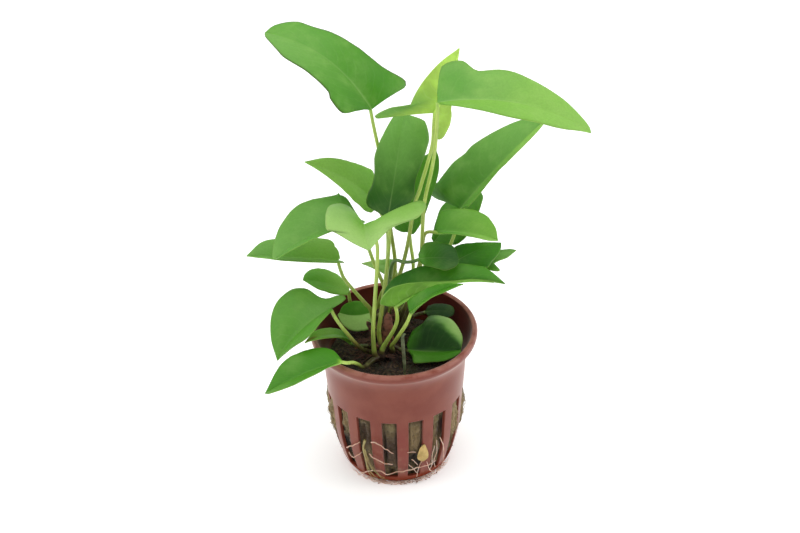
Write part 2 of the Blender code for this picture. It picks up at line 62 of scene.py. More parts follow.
# Pot. Radius and height of the outer wall, from the foot up, then the rim's lip over to the inside
WALL = ((17.2, 3.0), (18.4, 7.0), (19.8, 14.0), (20.5, 23.0), (21.3, 34.0), (21.8, 40.0), (23.4, 43.3))
FOOT = ((0.0, 0.0), (14.6, 0.0), (15.3, 0.15), (15.9, 0.7), (16.5, 1.6))
LIP = ((24.2, 44.1), (24.75, 44.7), (24.95, 45.4), (25.0, 46.2), (24.85, 46.7), (24.5, 47.0),
       (23.7, 47.0), (23.3, 46.7), (23.1, 45.9), (22.75, 44.6))
WALL_THICKNESS = 1.15
FLOOR_TOP = 1.4
SLOT_COUNT = 16
SLOT_FIRST = -6.0
SLOT_HALF_ANGLE = 6.25
SLOT_BOTTOM = 3.5
SLOT_TOP = 26.8
COLUMNS_PER_PITCH = 9
SLOT_COLUMNS = 5
SLOT_ROWS = 14
UPPER_ROWS = 12
LOWEST_RING = 2.3
FLOOR_CORNER_WIDTH = 0.5
FLOOR_CORNER_HEIGHT = 0.3
EDGE_ROUNDING = 0.22

# Redder patch on the wall as (angle, radius, height) with its reach in metres, and the painted shade
# on the inner wall, which lies over a height and inside a cone
RED_PATCH = (5.3, 20.0, 16.0)
RED_PATCH_REACH = (0.0024, 0.006, 0.014)
INSIDE_START = 38.5
INSIDE_SLOPE = 0.27
INSIDE_RADIUS = 10.74

# Wool. It stands in each slot as a pad that rises over PAD_SIDE degrees at its sides, and over the
# stretches PAD_FOOT and PAD_HEAD from the slot's ends. A hollow is (angle, height, half its angle,
# half its height, depth) and a tint is (angle, height, reach, colour).
WOOL_TOP = 38.0
WOOL_BOTTOM = 1.9
WOOL_SHOULDER = 1.2
WOOL_BRIM_DROP = 1.0
WOOL_CROWN = 1.2
WOOL_CROWN_RADII = (20.3, 15.0)
WOOL_CLEARANCE = 0.35
WOOL_COLUMNS = 320
WOOL_ROWS = 64
WOOL_RINGS = 26
PAD_RECESS = 0.75
PAD_HALF_ANGLE = 5.7
PAD_SIDE = 1.3
PAD_FOOT = (0.4, 1.6)
PAD_HEAD = (0.4, 1.8)
BULGE_START = (11, 16)
BULGE_END = 6
PAD_BULGES = {3: 0.9, 4: 1.1, 12: 1.5, 13: 1.1}
WOOL_HOLLOWS = ((16.5, 8, 6, 5, 2.5), (42.5, 20, 3, 7, 2.2), (-53, 9, 5, 6, 2.0), (-30, 20, 3.5, 5, 1.2),
                (-10.5, 14, 1.6, 10, 1.5), (-6, 5.5, 5, 2.5, 2.0))
# The near-black and dark red tints sit in the hollows and paint their shade.
WOOL_TINTS = (
    (-96, 19, 9, "dry wool"),
    (-73.5, 19, 9, "dry wool"),
    (-51, 23, 6, "tan wool"),
    (-52, 11, 8, "black hollow shade"),
    (-28.5, 20, 7, "brown wool"),
    (-28.5, 8, 5, "tan wool"),
    (-6, 15, 11, "brown wool"),
    (-11, 14, 3.2, "red hollow shade"),
    (16.5, 19, 8, "tan wool"),
    (16.5, 8.5, 9, "black hollow shade"),
    (34.5, 17, 6, "tan wool"),
    (43.5, 20, 6, "red hollow shade"),
    (61.5, 19, 9, "dry wool"),
    (84, 18, 9, "dry wool"),
)

# Fibres in the slots and litter on top of the wool. From here on a pair with a plural name, such as
# FIBRE_LENGTHS, is the least and the most of a random draw.
STRAND_SIDES = 5
FIBRES_PER_SLOT = 12
FIBRES_PER_BULGE = 34
FIBRE_START = 4.2
FIBRE_SPREAD = 4.8
FIBRE_FEET = (SLOT_BOTTOM + 1.5, SLOT_TOP - 6)
FIBRE_LENGTHS = (2, 8)
FIBRE_RADII = (0.04, 0.08)
LITTER_COUNT = 420
LITTER_LENGTHS = (1.2, 4.5)
LITTER_RADII = (0.05, 0.14)
LITTER_RADIUS = 18.8
LITTER_LIMIT = 19.3

# Rootstock. Points and radii along it, and the hairs and threads that grow on it
ROOTSTOCK = (((-4.4, -6.9, 41.0), 1.2), ((-4.4, -5.4, 41.3), 2.1), ((-4.2, -2.5, 41.5), 2.5),
             ((-4.0, 1.0, 41.5), 2.6), ((-3.9, 4.5, 41.6), 2.5), ((-3.9, 8.0, 41.6), 2.6),
             ((-4.0, 12.0, 41.5), 2.5), ((-3.9, 14.5, 41.4), 2.3), ((-3.8, 16.4, 41.2), 1.2))
ROOTSTOCK_SIDES = 28
ROOTSTOCK_RINGS = 90
ROOTSTOCK_MIDDLE = (-4.0, 41.5)
SCAR_SPACING = 1.7
SCAR_HEIGHT = 0.22
SCAR_GROOVE = 0.05
BARK_HEIGHT = 0.35
HAIR_COUNT = 150
HAIR_MARGIN = 4
HAIR_LENGTHS = (2.5, 8.0)
HAIR_RADII = (0.07, 0.2)
THREAD_COUNT = 80
THREAD_RINGS = (4, 60)
THREAD_OUT = 1.6
THREAD_UP = 1.4
THREAD_LENGTHS = (1.5, 5.5)
THREAD_RADII = (0.08, 0.24)

# Colours
COLOURS = {
    "butter": "#C8F068",
    "yellow": "#96CE3A",
    "lime": "#98CE5A",
    "celery": "#ACD478",
    "pear": "#84C044",
    "mint": "#78B24E",
    "fresh": "#68AA3C",
    "sage": "#60A03A",
    "leafy": "#5A9D28",
    "grass": "#4E951C",
    "vivid": "#4A970F",
    "moss": "#428312",
    "deep": "#2C710C",
    "dark": "#1E540A",
    "night": "#1B3E18",
    "rust": "#8C5C28",
    "olive": "#98A848",
    "light": "#B4CE62",
    "straw": "#A8A254",
    "shade": "#50703A",
    "umber": "#3E2A1C",
    "fleck": "#2A5E14",
    # pale patches of painted sheen on the blades
    "cloud": "#A9D070",
    "vein": "#BCDD88",
    "rib": "#C9E09A",
    "glow": "#A6D630",
    "streak": "#6E8236",
    "pale streak": "#C3CC84",
    "stalk foot": "#3A2A1C",
    "pot": "#763120",
    "light pot": "#834130",
    "red pot": "#7E2F24",
    # painted shade on the pot's inner wall
    "inner wall shade": "#521610",
    "dust": "#A88A66",
    # painted highlight on the top of the pot's rim
    "painted rim light": "#C08A7C",
    "wool": "#5E4F35",
    "light wool": "#7E6F4B",
    # painted shade between the wool's fibres
    "wool gap shade": "#1D1510",
    "wool thread": "#C2B488",
    "wool top": "#1F1810",
    "peat": "#6E5238",
    "wool moss": "#2C3318",
    "dry wool": "#A59068",
    "tan wool": "#806B47",
    "brown wool": "#483420",
    # painted shade in the wool's hollows, dark red and near black
    "red hollow shade": "#300F08",
    "black hollow shade": "#130A06",
    "bark": "#1E140C",
    "light bark": "#5E4630",
}

# Strands, fibres and crumbs: the dark and the light shade, the grain in millimetres and the roughness
STRANDS = {
    "litter": ("#1A130D", "#4A3A2B", 0.8, 0.6),
    "rootstock_hair": ("#2A1712", "#74503C", 0.8, 0.6),
    "sheath": ("#3A1E16", "#8E5A48", 0.6, 0.7),
    "old_stalk": ("#56623F", "#8A9470", 0.8, 0.6),
    "root": ("#BE937B", "#E0C0AA", 1.2, 0.5),
    "green_root": ("#7A683A", "#A4965C", 1.2, 0.5),
    "hair_root": ("#D0A892", "#EACEBE", 1.2, 0.5),
    "crumb": ("#5E3A2A", "#9C745C", 0.8, 0.6),
    "scrap": ("#A98C4A", "#C9AC68", 0.8, 0.6),
}

# Blades: colour and tints of the usual underside, side veins, and how much light they let through
# and how far its colour turns to the glow's
UNDERSIDE = ("pear", ())
VEINS_PER_BLADE = 11.0
VEIN_SLANT = 0.24
GLOW_SHARE = 0.22
GLOW_TINT = 0.45

# Leaves. Each half of a blade is drawn by (along, out) points in its own plane: along the line from
# the base to the tip, and out from that line. The first point is the end of the basal lobe.
# face is the way the upper side looks, lift is how far the left and right halves fold up in
# degrees, and arch is how high the blade bows above the straight line from base to tip. curl is
# how far the outer part of each half bends on, in degrees, and droop is how steeply the lobes hang.
Leaf = namedtuple("Leaf", "base tip face lift arch left right stalk curl droop", defaults=((0, 0), 0.0))
BLADE_THICKNESS = 0.42
EDGE_THINNING = 0.6
THINNEST = 0.3
BLADE_ROWS = 40
BLADE_COLUMNS = 9
MIDRIB_CROWDING = 1.35
TIP_HALF_WIDTH = 0.1
TIP_MARGIN = 0.2
CURL_START = 0.5
BLADE_CROWN = 0.05
WAVE_HEIGHT = 0.35
WAVES_PER_BLADE = 5.0
EDGE_WOBBLE = 0.3
EDGE_MARGIN = 0.12
HIGHEST_BLADE = 135.2
STALK_SIDES = 14
STALK_RINGS = 44
RIB_RINGS = 26
FOOT_RADIUS = 0.95
STALK_RADIUS = 0.64
NECK_RADIUS = 0.5
SHORT_SPAN = 2.8
RUN_IN = 2.4
RUN_TO_ORIGIN = 0.4
STALK_ORIGIN = (-4.0, 41.6)
SWELL_HEIGHT = 3.0
RIB_END = 0.9
RIB_DEPTH = 0.22
RIB_SHARE = 0.8
RIB_TAPER = 0.8
RIB_TIP = 0.07
LEAVES = (
    Leaf(base=(-4.9, 12, 114.4), tip=(-34.6, 24, 133.4), face=(0.4, -0.35, 0.85), lift=(10, 10), arch=6,
         left=((2.9, 6.6), (5.4, 12.9), (10.4, 12.6), (12.1, 11), (21.1, 10.1), (26.2, 10),
               (29.4, 8.3), (35.6, 2.6)),
         right=((-3.1, 13.7), (-3.6, 15.7), (-2, 16.6), (6.3, 11.6), (21.5, 9), (25.7, 7.8),
                (29.4, 7.3), (32, 7.2), (36.2, 3.8)),
         stalk=((-4, 12.5, 44.6), (-1, 12.4, 52.2), (0.8, 12, 61.9), (-0.4, 11.5, 76.1),
                (-1, 11, 88.4), (-4.3, 12, 109.2))),
    Leaf(base=(12.9, 8, 115.1), tip=(20.5, 19, 129.8), face=(-0.15, 0.95, 0.25), lift=(3, 3), arch=-1,
         left=((-6.3, 4.5), (-5.9, 5.6), (-4.3, 6.4), (-1.1, 6.8), (1.8, 5.9), (4, 4.6), (12.3, 1.7)),
         right=((-8.1, 15.8), (-8.5, 17), (-7.5, 17.1), (-4.3, 14.1), (-2.6, 11), (-1.2, 8.4),
                (1.2, 8.4), (6.4, 7.7), (13.4, 4.7)),
         stalk=((-4, 2.2, 44.6), (3.5, 3, 69.2), (6.7, 4.2, 86.6), (8.4, 4.3, 92.2), (12, 4.1, 106),
                (12.6, 4.2, 112.4)),
         droop=0.2),
    Leaf(base=(13.5, -4, 124.6), tip=(56.2, -2, 112.9), face=(0.3, -0.15, 0.94), lift=(20, 2), arch=5,
         left=((-0.2, 3.7), (0.2, 11), (1.8, 13), (5.8, 13.2), (8.7, 10.5), (10.6, 9.7), (18.8, 10.3),
               (33.8, 6.4), (42.6, 2.3)),
         right=((1.6, 1.3), (14.1, 6), (21.4, 7.4), (33.3, 6)),
         stalk=((-0.3, 1, 41.5), (3.4, 1.5, 49.4), (6.5, 1.5, 59.4), (8.4, 1.4, 69.4),
                (9.5, 0.5, 88.8), (11.8, -1, 101.8), (12.9, -2.5, 110.7), (13.5, -3.8, 121.4))),
    Leaf(base=(20.5, 10, 81.9), tip=(46.7, 22, 105.3), face=(-0.55, -0.45, 0.7), lift=(5, 30), arch=1,
         left=((-1.8, 7.4), (-3.1, 11.2), (-3, 15.4), (0.4, 12.7), (2, 12.7), (8.4, 13.1),
               (12.7, 12.1), (16.2, 12), (25, 9.1), (32, 5.3)),
         right=((2, 3.3), (5.7, 3.6), (15.4, 2.6), (20.2, 3), (30.5, 2.6)),
         stalk=((-4, 10.2, 44.9), (8.4, 10.6, 53.9), (13.3, 10.9, 60.1), (16.7, 11, 67.1),
                (18.8, 10.8, 73.5), (19.9, 10.4, 78.6)),
         droop=0.6),
    Leaf(base=(-0.9, 2, 84.4), tip=(4.5, 16, 111.1), face=(0, -0.9, 0.35), lift=(0, 0), arch=3,
         left=((1, 2.5), (3.6, 7.1), (10.9, 6), (18.2, 6.6), (27.7, 3.6), (30.4, 1.3)),
         right=((1.7, 1.8), (6.7, 6.4), (11.9, 6.3), (21.9, 8.2), (24.8, 8.2), (28.4, 6.8), (29.5, 5.4)),
         stalk=((-4.3, -3.2, 44.4), (-4.5, -2.8, 48.3), (-3.5, -1.9, 54.9), (-1.1, 1.5, 72),
                (-0.6, 2.5, 81.4))),
    Leaf(base=(-3.8, 12, 82.1), tip=(-24.7, 11, 98.6), face=(0.55, -0.35, 0.75), lift=(10, 10), arch=3,
         left=((2.8, 5.5), (5.4, 7), (8.3, 6.6), (11.5, 6.1)),
         right=((4.2, 5.7), (6.3, 8.1), (9.9, 7.3), (20.3, 4.2)),
         stalk=((-4, 7.6, 44.6), (-2, 8.4, 58.6), (-1.1, 10, 72.5), (-2.1, 11, 78.2))),
    Leaf(base=(-8.7, 4, 82.4), tip=(-34.1, -2, 73.4), face=(-0.35, -0.05, 0.93), lift=(27, 28), arch=2,
         left=((-1, 6), (6, 9), (13, 9.5), (20, 7.5), (25, 3.5)),
         right=((0.5, 2.9), (1.1, 8.7), (2.7, 10.6), (2.7, 11.4), (3.9, 10.9), (14.2, 12), (20.6, 9.7),
                (24.9, 6), (27.6, 1.6)),
         stalk=((-0.3, 5.4, 41.5), (-2.4, 5, 57.3), (-5.3, 4.8, 66.8), (-7.8, 4.3, 76.7))),
    Leaf(base=(-7.6, -8, 88.5), tip=(-6.1, -24, 90.1), face=(0, 0.05, 1), lift=(15, 26), arch=0.6,
         left=((-0.2, 2.7), (-0.4, 5.5), (-0.3, 8.8), (-3, 11.2), (-5.9, 14.2), (-6.1, 16.5),
               (-4.5, 18), (-0.8, 18.6), (2.6, 17.9), (6.2, 15.8), (7.3, 13.9), (6.9, 11.6),
               (7.5, 8.4), (9.6, 5.5)),
         right=((-7.2, 1.6), (-12.9, 3.3), (-14.1, 5.3), (-12.8, 7), (-9.1, 9.3), (-4.4, 11),
                (0.8, 11.9), (10.6, 12.7), (13.2, 12.3), (12.8, 10.4), (15.1, 4.6)),
         stalk=((-6, -6.9, 43.1), (-6.1, -7.6, 51.8), (-5.4, -7.6, 60.7), (-4.1, -8.4, 78.2),
                (-4.4, -8.6, 83.8), (-6, -8.4, 87.1))),
    Leaf(base=(-16.1, 8, 66.1), tip=(-43.1, 6, 70), face=(0, -0.05, 1), lift=(30, 30), arch=0,
         left=((-1.5, 4), (5, 6.5), (13, 7), (20, 5.5), (25, 2.5)),
         right=((-0.6, 1), (0, 3.6), (1.1, 5), (1.5, 6.3), (4.5, 7.3), (14.4, 7), (22.3, 5.2)),
         stalk=((-5.9, 4.7, 44), (-6.9, 4.8, 50.3), (-8.5, 5.2, 52.6), (-14, 7, 59.5),
                (-15.4, 7.6, 62.8))),
    Leaf(base=(-13.4, 12.5, 52), tip=(-27.5, 13.5, 56), face=(0.15, -0.3, 0.94), lift=(12, 12), arch=1,
         left=((0.4, 2.1), (3.2, 3.5), (6.7, 4), (9.9, 3.4)),
         right=((0.3, 1.2), (4.3, 4), (9.7, 4.9), (12.6, 4), (14.2, 2.1)),
         stalk=((-7.6, 13, 41.5), (-10.5, 14.7, 40.5), (-12.7, 14.9, 44.2), (-13.4, 14, 48.2))),
    Leaf(base=(-18.3, -8, 60), tip=(-34.2, -16, 47.5), face=(-0.5, -0.3, 0.8), lift=(25, 20), arch=2,
         left=((-0.5, 1.6), (3.4, 5), (7.6, 7.9), (12, 7.4)),
         right=((-3.2, 0.3), (-4.8, 0.3), (-5.6, 1.3), (-4.3, 2.8), (-1.3, 3.6), (0.1, 5.7),
                (1.4, 10.6), (5.9, 12.8), (12.6, 11.4), (18.3, 6.3)),
         stalk=((-7.7, -4.2, 41.5), (-10.5, -5.6, 44.3), (-14.3, -8.8, 52.5), (-16.2, -9.2, 56.1),
                (-17.3, -8.9, 58.2))),
    Leaf(base=(-15.4, -21, 50.5), tip=(-37.3, -29, 45.6), face=(-0.2, -0.15, 0.96), lift=(32, 25),
         arch=1,
         left=((2.7, 1.7), (10.2, 7), (14.5, 8), (18.9, 6.2), (22.6, 3.1)),
         right=((-0.4, 0.6), (1.3, 4.8), (7.5, 7), (15.8, 5.9)),
         stalk=((-7, -8.2, 40.9), (-8.4, -10.8, 41.2), (-9.5, -14, 43), (-10.6, -17, 46.3),
                (-12, -19.2, 48.7), (-13.7, -20.4, 49.5))),
    Leaf(base=(-6.9, 10, 45.7), tip=(-16.7, 10, 46), face=(0, -0.1, 1), lift=(-25, 50), arch=-1.2,
         left=((-0.3, 2.6), (0, 4.3), (1.3, 5.5), (7.4, 4.5), (10, 1.2)),
         right=((-0.3, 1.5), (0.8, 3), (2.5, 4.1), (4.9, 4.6), (7, 4), (8.7, 2.4)),
         stalk=((-7.6, 9.8, 41.5), (-7.3, 10, 43.2))),
    Leaf(base=(-12.9, -3.2, 44.1), tip=(-26.4, -11, 50), face=(0, -0.1, 1), lift=(20, 20), arch=3,
         left=((2, 2), (6, 3), (10, 3)),
         right=((-0.5, 1.9), (0.8, 2.7), (2.9, 2.9), (10.1, 2.5), (13.3, 2.2)),
         stalk=((-7.7, -1.4, 41.5), (-11.1, -2.2, 42.3))),
    Leaf(base=(0.5, -8.5, 60.8), tip=(32.6, -9.5, 68.3), face=(-0.25, 0.1, 0.96), lift=(45, 62), arch=4,
         left=((-2.8, 4.6), (-2.9, 5.9), (-0.4, 7.7), (5.2, 7.8), (24.7, 4.8), (28.4, 4)),
         right=((-1.7, 1.9), (-3.4, 5.1), (-3.2, 6.6), (-0.4, 8.5), (2.8, 8.1), (15.9, 1.4), (24.5, 0.9)),
         stalk=((-2.5, -6.6, 42.9), (-2.9, -6.5, 45.4), (-0.1, -7.5, 51.5), (1, -8.1, 55.2),
                (1, -8.6, 58.7))),
    Leaf(base=(4.9, -15, 62.7), tip=(20.2, -16, 73), face=(-0.5, -0.2, 0.85), lift=(25, 35), arch=2,
         left=((0.2, 1.8), (0.5, 3.6), (1.7, 3.6), (11.4, 2.4)),
         right=((2, 4), (5, 4.5), (10, 4.5), (15, 3)),
         stalk=((-0.5, -4.2, 41.5), (-0.8, -7.5, 45.7), (0.4, -9.5, 49.1), (3.5, -13.5, 57.5),
                (4.5, -14.5, 60.7))),
    Leaf(base=(7.8, -4, 74), tip=(19.3, -6, 75), face=(0.1, -0.45, 0.89), lift=(5, 5), arch=0.5,
         left=((-0.3, 1.6), (0.8, 4.4), (2.9, 5.5), (8.8, 4.4), (10.6, 2.8)),
         right=((0.7, 1.5), (2.4, 2.8), (7.6, 4.4), (10.3, 3.5), (11.5, 1.8)),
         stalk=((-3.1, -0.9, 44.6), (-2.3, 0.8, 52.2), (-1.3, 1.6, 58.9), (-0.6, 1.5, 65.3),
                (0.1, 0.6, 69.6), (1.3, -0.6, 71.5), (3.4, -2.1, 71.8), (5.8, -3.2, 72.6))),
    Leaf(base=(18.6, 6, 66), tip=(32.6, 10, 69.8), face=(-0.1, -0.3, 0.95), lift=(5, 5), arch=1,
         left=((0.6, 2.4), (1.5, 4.5), (4.5, 4.4)),
         right=((0.9, 3.4), (4.1, 6.2), (7.7, 7.9), (9.3, 6.5), (11.5, 5), (13.9, 2.3)),
         stalk=((-0.3, 9.5, 41.5), (3, 8.7, 48), (9, 7.5, 57), (14, 6.5, 63))),
    Leaf(base=(23.8, 10, 63.3), tip=(37.3, 12, 65.7), face=(-0.1, -0.2, 0.97), lift=(5, 5), arch=1,
         left=((2.6, 2.6), (9.3, 1.1), (12, 0.8)),
         right=((1.6, 4.1), (5.2, 7.6), (7, 7.8), (5.8, 5), (7.3, 3.9), (10.1, 3.2)),
         stalk=((-0.3, 11.6, 41.5), (4, 12.8, 47), (11, 12.8, 54), (19, 11, 60.5))),
    Leaf(base=(13.1, 2, 79.3), tip=(30.9, -1, 77.6), face=(0, -0.05, 1), lift=(30, 20), arch=1,
         left=((-0.3, 1.9), (-0.4, 4.2), (0, 6.3), (1.6, 7.4), (7.5, 8), (12.7, 7.3), (16.5, 4)),
         right=((2.6, 2), (7.5, 2.8), (13.9, 3.1), (16.2, 2.1)),
         stalk=((-0.3, 3.3, 41.5), (3.1, 4, 50.6), (6.3, 4.1, 59.5), (8.5, 4, 69.8), (9.5, 3.3, 77.3),
                (10.9, 2.7, 78.9))),
    Leaf(base=(12.6, 16, 66.5), tip=(27.4, 24, 79.1), face=(-0.5, -0.5, 0.7), lift=(5, 5), arch=1,
         left=((0.6, 1.7), (7.6, 5.4), (11.5, 6.1), (18.5, 3.5)),
         right=((0.8, 2.4), (5.2, 8.1), (12, 7.3), (19.4, 2.6)),
         stalk=((-0.6, 16, 41.4), (3, 16.8, 46.5), (8, 17.2, 54), (11, 16.8, 60.5))),
    Leaf(base=(5.2, 14, 71.9), tip=(13.6, 18, 97.8), face=(-0.3, -0.8, 0.5), lift=(0, 0), arch=1,
         left=((-1, 2.2), (-0.9, 4.6), (0.8, 5.7), (5.3, 6.6), (16.3, 5.9), (22.3, 4)),
         right=((-0.3, 1.1), (0.9, 2.1), (7.1, 3.4), (18.8, 3.6), (24.6, 2.2)),
         stalk=((-0.4, 13.8, 41.5), (2.3, 13.9, 45.2), (4.8, 14.1, 50.9), (6.1, 14.3, 56.6),
                (6.2, 14.3, 61.7), (5.7, 14.2, 66.4))),
    Leaf(base=(0.4, 17, 57.5), tip=(-9.6, 18, 58.4), face=(0, -0.5, 0.87), lift=(5, 5), arch=0.5,
         left=((-1.1, 1.9), (-0.4, 3.5), (1.4, 3.6)),
         right=((-0.5, 1.6), (0.9, 2.5), (4.8, 1.8)),
         stalk=((-5, 17.6, 41.4), (-3.5, 18.5, 47), (-0.5, 18.6, 52), (1, 17.8, 54.4))),
    Leaf(base=(4.2, -3.5, 41.2), tip=(19.9, -7.6, 43.7), face=(0, -0.15, 0.99), lift=(45, 12), arch=-1.0,
         left=((-0.7, 1.9), (-0.3, 5), (0.8, 8.8), (3.9, 13.3), (4.5, 15.3), (6, 15.9), (8.8, 15.7),
               (12.2, 13.7), (14.8, 9.4), (16.3, 5.1)),
         right=((0.9, 1.6), (2, 3.2), (2.6, 5.4), (4, 5.4), (7.5, 4.6), (12, 4.2), (16.1, 1.5)),
         stalk=((-0.4, -1.7, 41.4), (2.2, -2.4, 40.4)),
         curl=(-40, -20)),
    Leaf(base=(9.5, 10.5, 45.1), tip=(18.7, 11, 44.8), face=(0, -0.4, 0.9), lift=(0, 0), arch=0.5,
         left=((1.1, 2), (3.6, 2.6), (6.9, 2.4), (8.7, 1.4)),
         right=((0.8, 1.7), (3.2, 2.7), (6.6, 2.6), (8.5, 1.5)),
         stalk=((-0.3, 7.4, 41.5), (1.5, 8.1, 42.9), (5.8, 9.8, 44.2))),
)

# Looks of the leaves, in the same order. left and right name the colours of a half at its base and
# its tip; besides the leaf's own greens they paint light and shade, darker where a half lies in shade
# and paler where it catches sheen. stalk names those of the stalk's foot, middle and head, and how far
# up the foot's reaches; an umber foot is partly the stalk's own brown and partly painted shade low in
# the pot. A tint is (along, across, reach along, reach across, colour), where across runs from left 0
# to right 1; some tints paint shade in a fold, and some the light on a lit fold. under is the
# underside's colour and its tints, and edge is the edge's colour and strength.
Look = namedtuple("Look", "left right stalk tints under edge", defaults=((), UNDERSIDE, ("light", 0.2)))
GREEN_STALK = ("straw", "olive", "light", 0.06)
LIGHT_STALK = ("straw", "light", "light", 0.04)
# Umber foot: partly the stalk's own brown and partly painted shade low in the pot.
BROWN_STALK = ("umber", "olive", "light", 0.2)
# Umber foot and dark green head: painted shade on stalks that lie deep in the pot.
SHADED_STALK = ("umber", "umber", "shade", 0.3)
LOOKS = (
    # A: its paler tips paint a broad sheen over the blade's own green.
    Look(("grass", "mint"), ("grass", "fresh"), ("straw", "olive", "light", 0.06),
         ((0.1, 0.75, 0.3, 0.3, "vivid"),), UNDERSIDE, ("umber", 0.6)),
    Look(("yellow", "butter"), ("butter", "butter"), GREEN_STALK, ((0.2, 1.0, 0.4, 0.5, "mint"),),
         ("butter", ((0.2, 1.0, 0.4, 0.5, "mint"),))),
    Look(("mint", "lime"), ("pear", "lime"), BROWN_STALK, ((0.12, 0.3, 0.3, 0.3, "fresh"),)),
    # D: its darker left half and the moss patch by its base paint shade.
    Look(("moss", "mint"), ("leafy", "lime"), GREEN_STALK, ((0.0, 0.1, 0.2, 0.2, "sage"),
                                                           (0.15, 0.3, 0.1, 0.2, "moss"))),
    # E: its dark base and pale tip paint the shade and sheen of its bowed blade.
    Look(("dark", "mint"), ("dark", "mint"), GREEN_STALK),
    Look(("pear", "lime"), ("pear", "lime"), GREEN_STALK),
    Look(("fresh", "fresh"), ("leafy", "mint"), BROWN_STALK, ((0.35, 0.7, 0.4, 0.3, "mint"),)),
    Look(("pear", "celery"), ("pear", "celery"), LIGHT_STALK, ((0.1, 0.7, 0.3, 0.25, "pear"),)),
    Look(("pear", "mint"), ("lime", "mint"), ("straw", "olive", "light", 0.1)),
    Look(("pear", "leafy"), ("lime", "leafy"), GREEN_STALK),
    Look(("fresh", "leafy"), ("mint", "leafy"), ("umber", "straw", "light", 0.24)),
    # L: its umber stalk foot paints shade inside the pot, and its light upper part the highlight where it
    # crosses the rim.
    Look(("grass", "leafy"), ("vivid", "grass"), ("umber", "light", "light", 0.4),
         ((0.0, 0.5, 0.12, 0.3, "yellow"),)),
    # M: its pale near half and darker far half paint the light and shade of its cup. M's and N's dark
    # stalks paint shade inside the pot.
    Look(("celery", "celery"), ("leafy", "grass"), SHADED_STALK),
    Look(("moss", "lime"), ("moss", "lime"), SHADED_STALK, ((1.0, 0.5, 0.25, 0.5, "rust"),)),
    # O: its dark far half and the moss and deep patches paint shade.
    Look(("deep", "grass"), ("lime", "vivid"), LIGHT_STALK,
         ((0.5, 0.3, 0.35, 0.25, "moss"), (0.9, 0.9, 0.5, 0.7, "deep"))),
    Look(("grass", "vivid"), ("grass", "vivid"), ("umber", "olive", "light", 0.14), (), ("moss", ())),
    Look(("moss", "dark"), ("moss", "dark"), ("umber", "shade", "shade", 0.3),
         ((0.1, 0.5, 0.2, 0.5, "sage"),)),
    Look(("deep", "vivid"), ("deep", "vivid"), BROWN_STALK),
    Look(("leafy", "mint"), ("leafy", "mint"), BROWN_STALK),
    Look(("leafy", "pear"), ("fresh", "lime"), ("umber", "straw", "olive", 0.24)),
    Look(("moss", "grass"), ("moss", "leafy"), BROWN_STALK),
    Look(("grass", "leafy"), ("leafy", "leafy"), GREEN_STALK),
    Look(("mint", "celery"), ("mint", "celery"), GREEN_STALK),
    # AA: its near-black left half paints shade in the cup, the mint, celery and grass patches the light on
    # its folded strip and lobe, and its umber stalk shade.
    Look(("night", "dark"), ("leafy", "grass"), ("umber", "umber", "umber", 0.3),
         ((0.72, 0.0, 0.4, 0.3, "mint"), (0.72, 0.0, 0.4, 0.3, "mint"), (0.7, 0.0, 0.3, 0.25, "celery"),
          (0.0, 0.15, 0.45, 0.5, "grass"))),
    # BB: near black all over, painted shade deep in the pot, its umber stalk too.
    Look(("night", "night"), ("night", "night"), ("umber", "umber", "umber", 0.3)),
)

# Roots that hang out of the slots. Each point is an angle round the pot in degrees from its front
# towards +X, a height, and how far the root's centre lies off the wall.
ROOTS = (
    (0.40, ((-50, 11.7, 0.4), (-46, 13.2, 0.8), (-41, 14.6, 0.85), (-37, 16.2, 0.8), (-32.5, 17.6, 0.4))),
    (0.35, ((-49, 9.8, 0.4), (-45, 9.4, 0.75), (-40, 10.2, 0.8), (-36, 11.9, 0.75), (-32, 13.3, 0.4))),
    (0.75, ((-27, 19.6, 0.6), (-28.6, 16, 1.0), (-27.5, 12.5, 1.15), (-28, 8.2, 0.9))),
    (0.40, ((-23.6, 14.4, 0.9), (-20, 12.7, 0.9), (-14, 11.8, 0.85), (-9, 10.7, 0.7), (-4, 10.3, 0.4))),
    (0.35, ((-21.5, 19.3, 0.8), (-18.5, 19.6, 0.85), (-15.5, 19.2, 0.85), (-11.5, 17.9, 0.8),
            (-7, 16.2, 0.4), (-3, 15, 0.35))),
    (0.40, ((-39, 2.4, 0.85), (-32, 4.6, 0.85), (-25, 6.2, 0.8), (-16.3, 6.7, 0.75), (-9, 5.6, 0.75),
            (-0.5, 6.9, 0.8), (9.5, 7.2, 0.75), (20, 7.9, 0.75), (30, 7.2, 0.75), (38.5, 7.4, 0.3))),
    (0.35, ((39.5, 17.4, 0.3), (43.5, 13.5, 0.6), (46, 9, 0.75), (49, 4.6, 0.75))),
)
GREEN_ROOT = 3

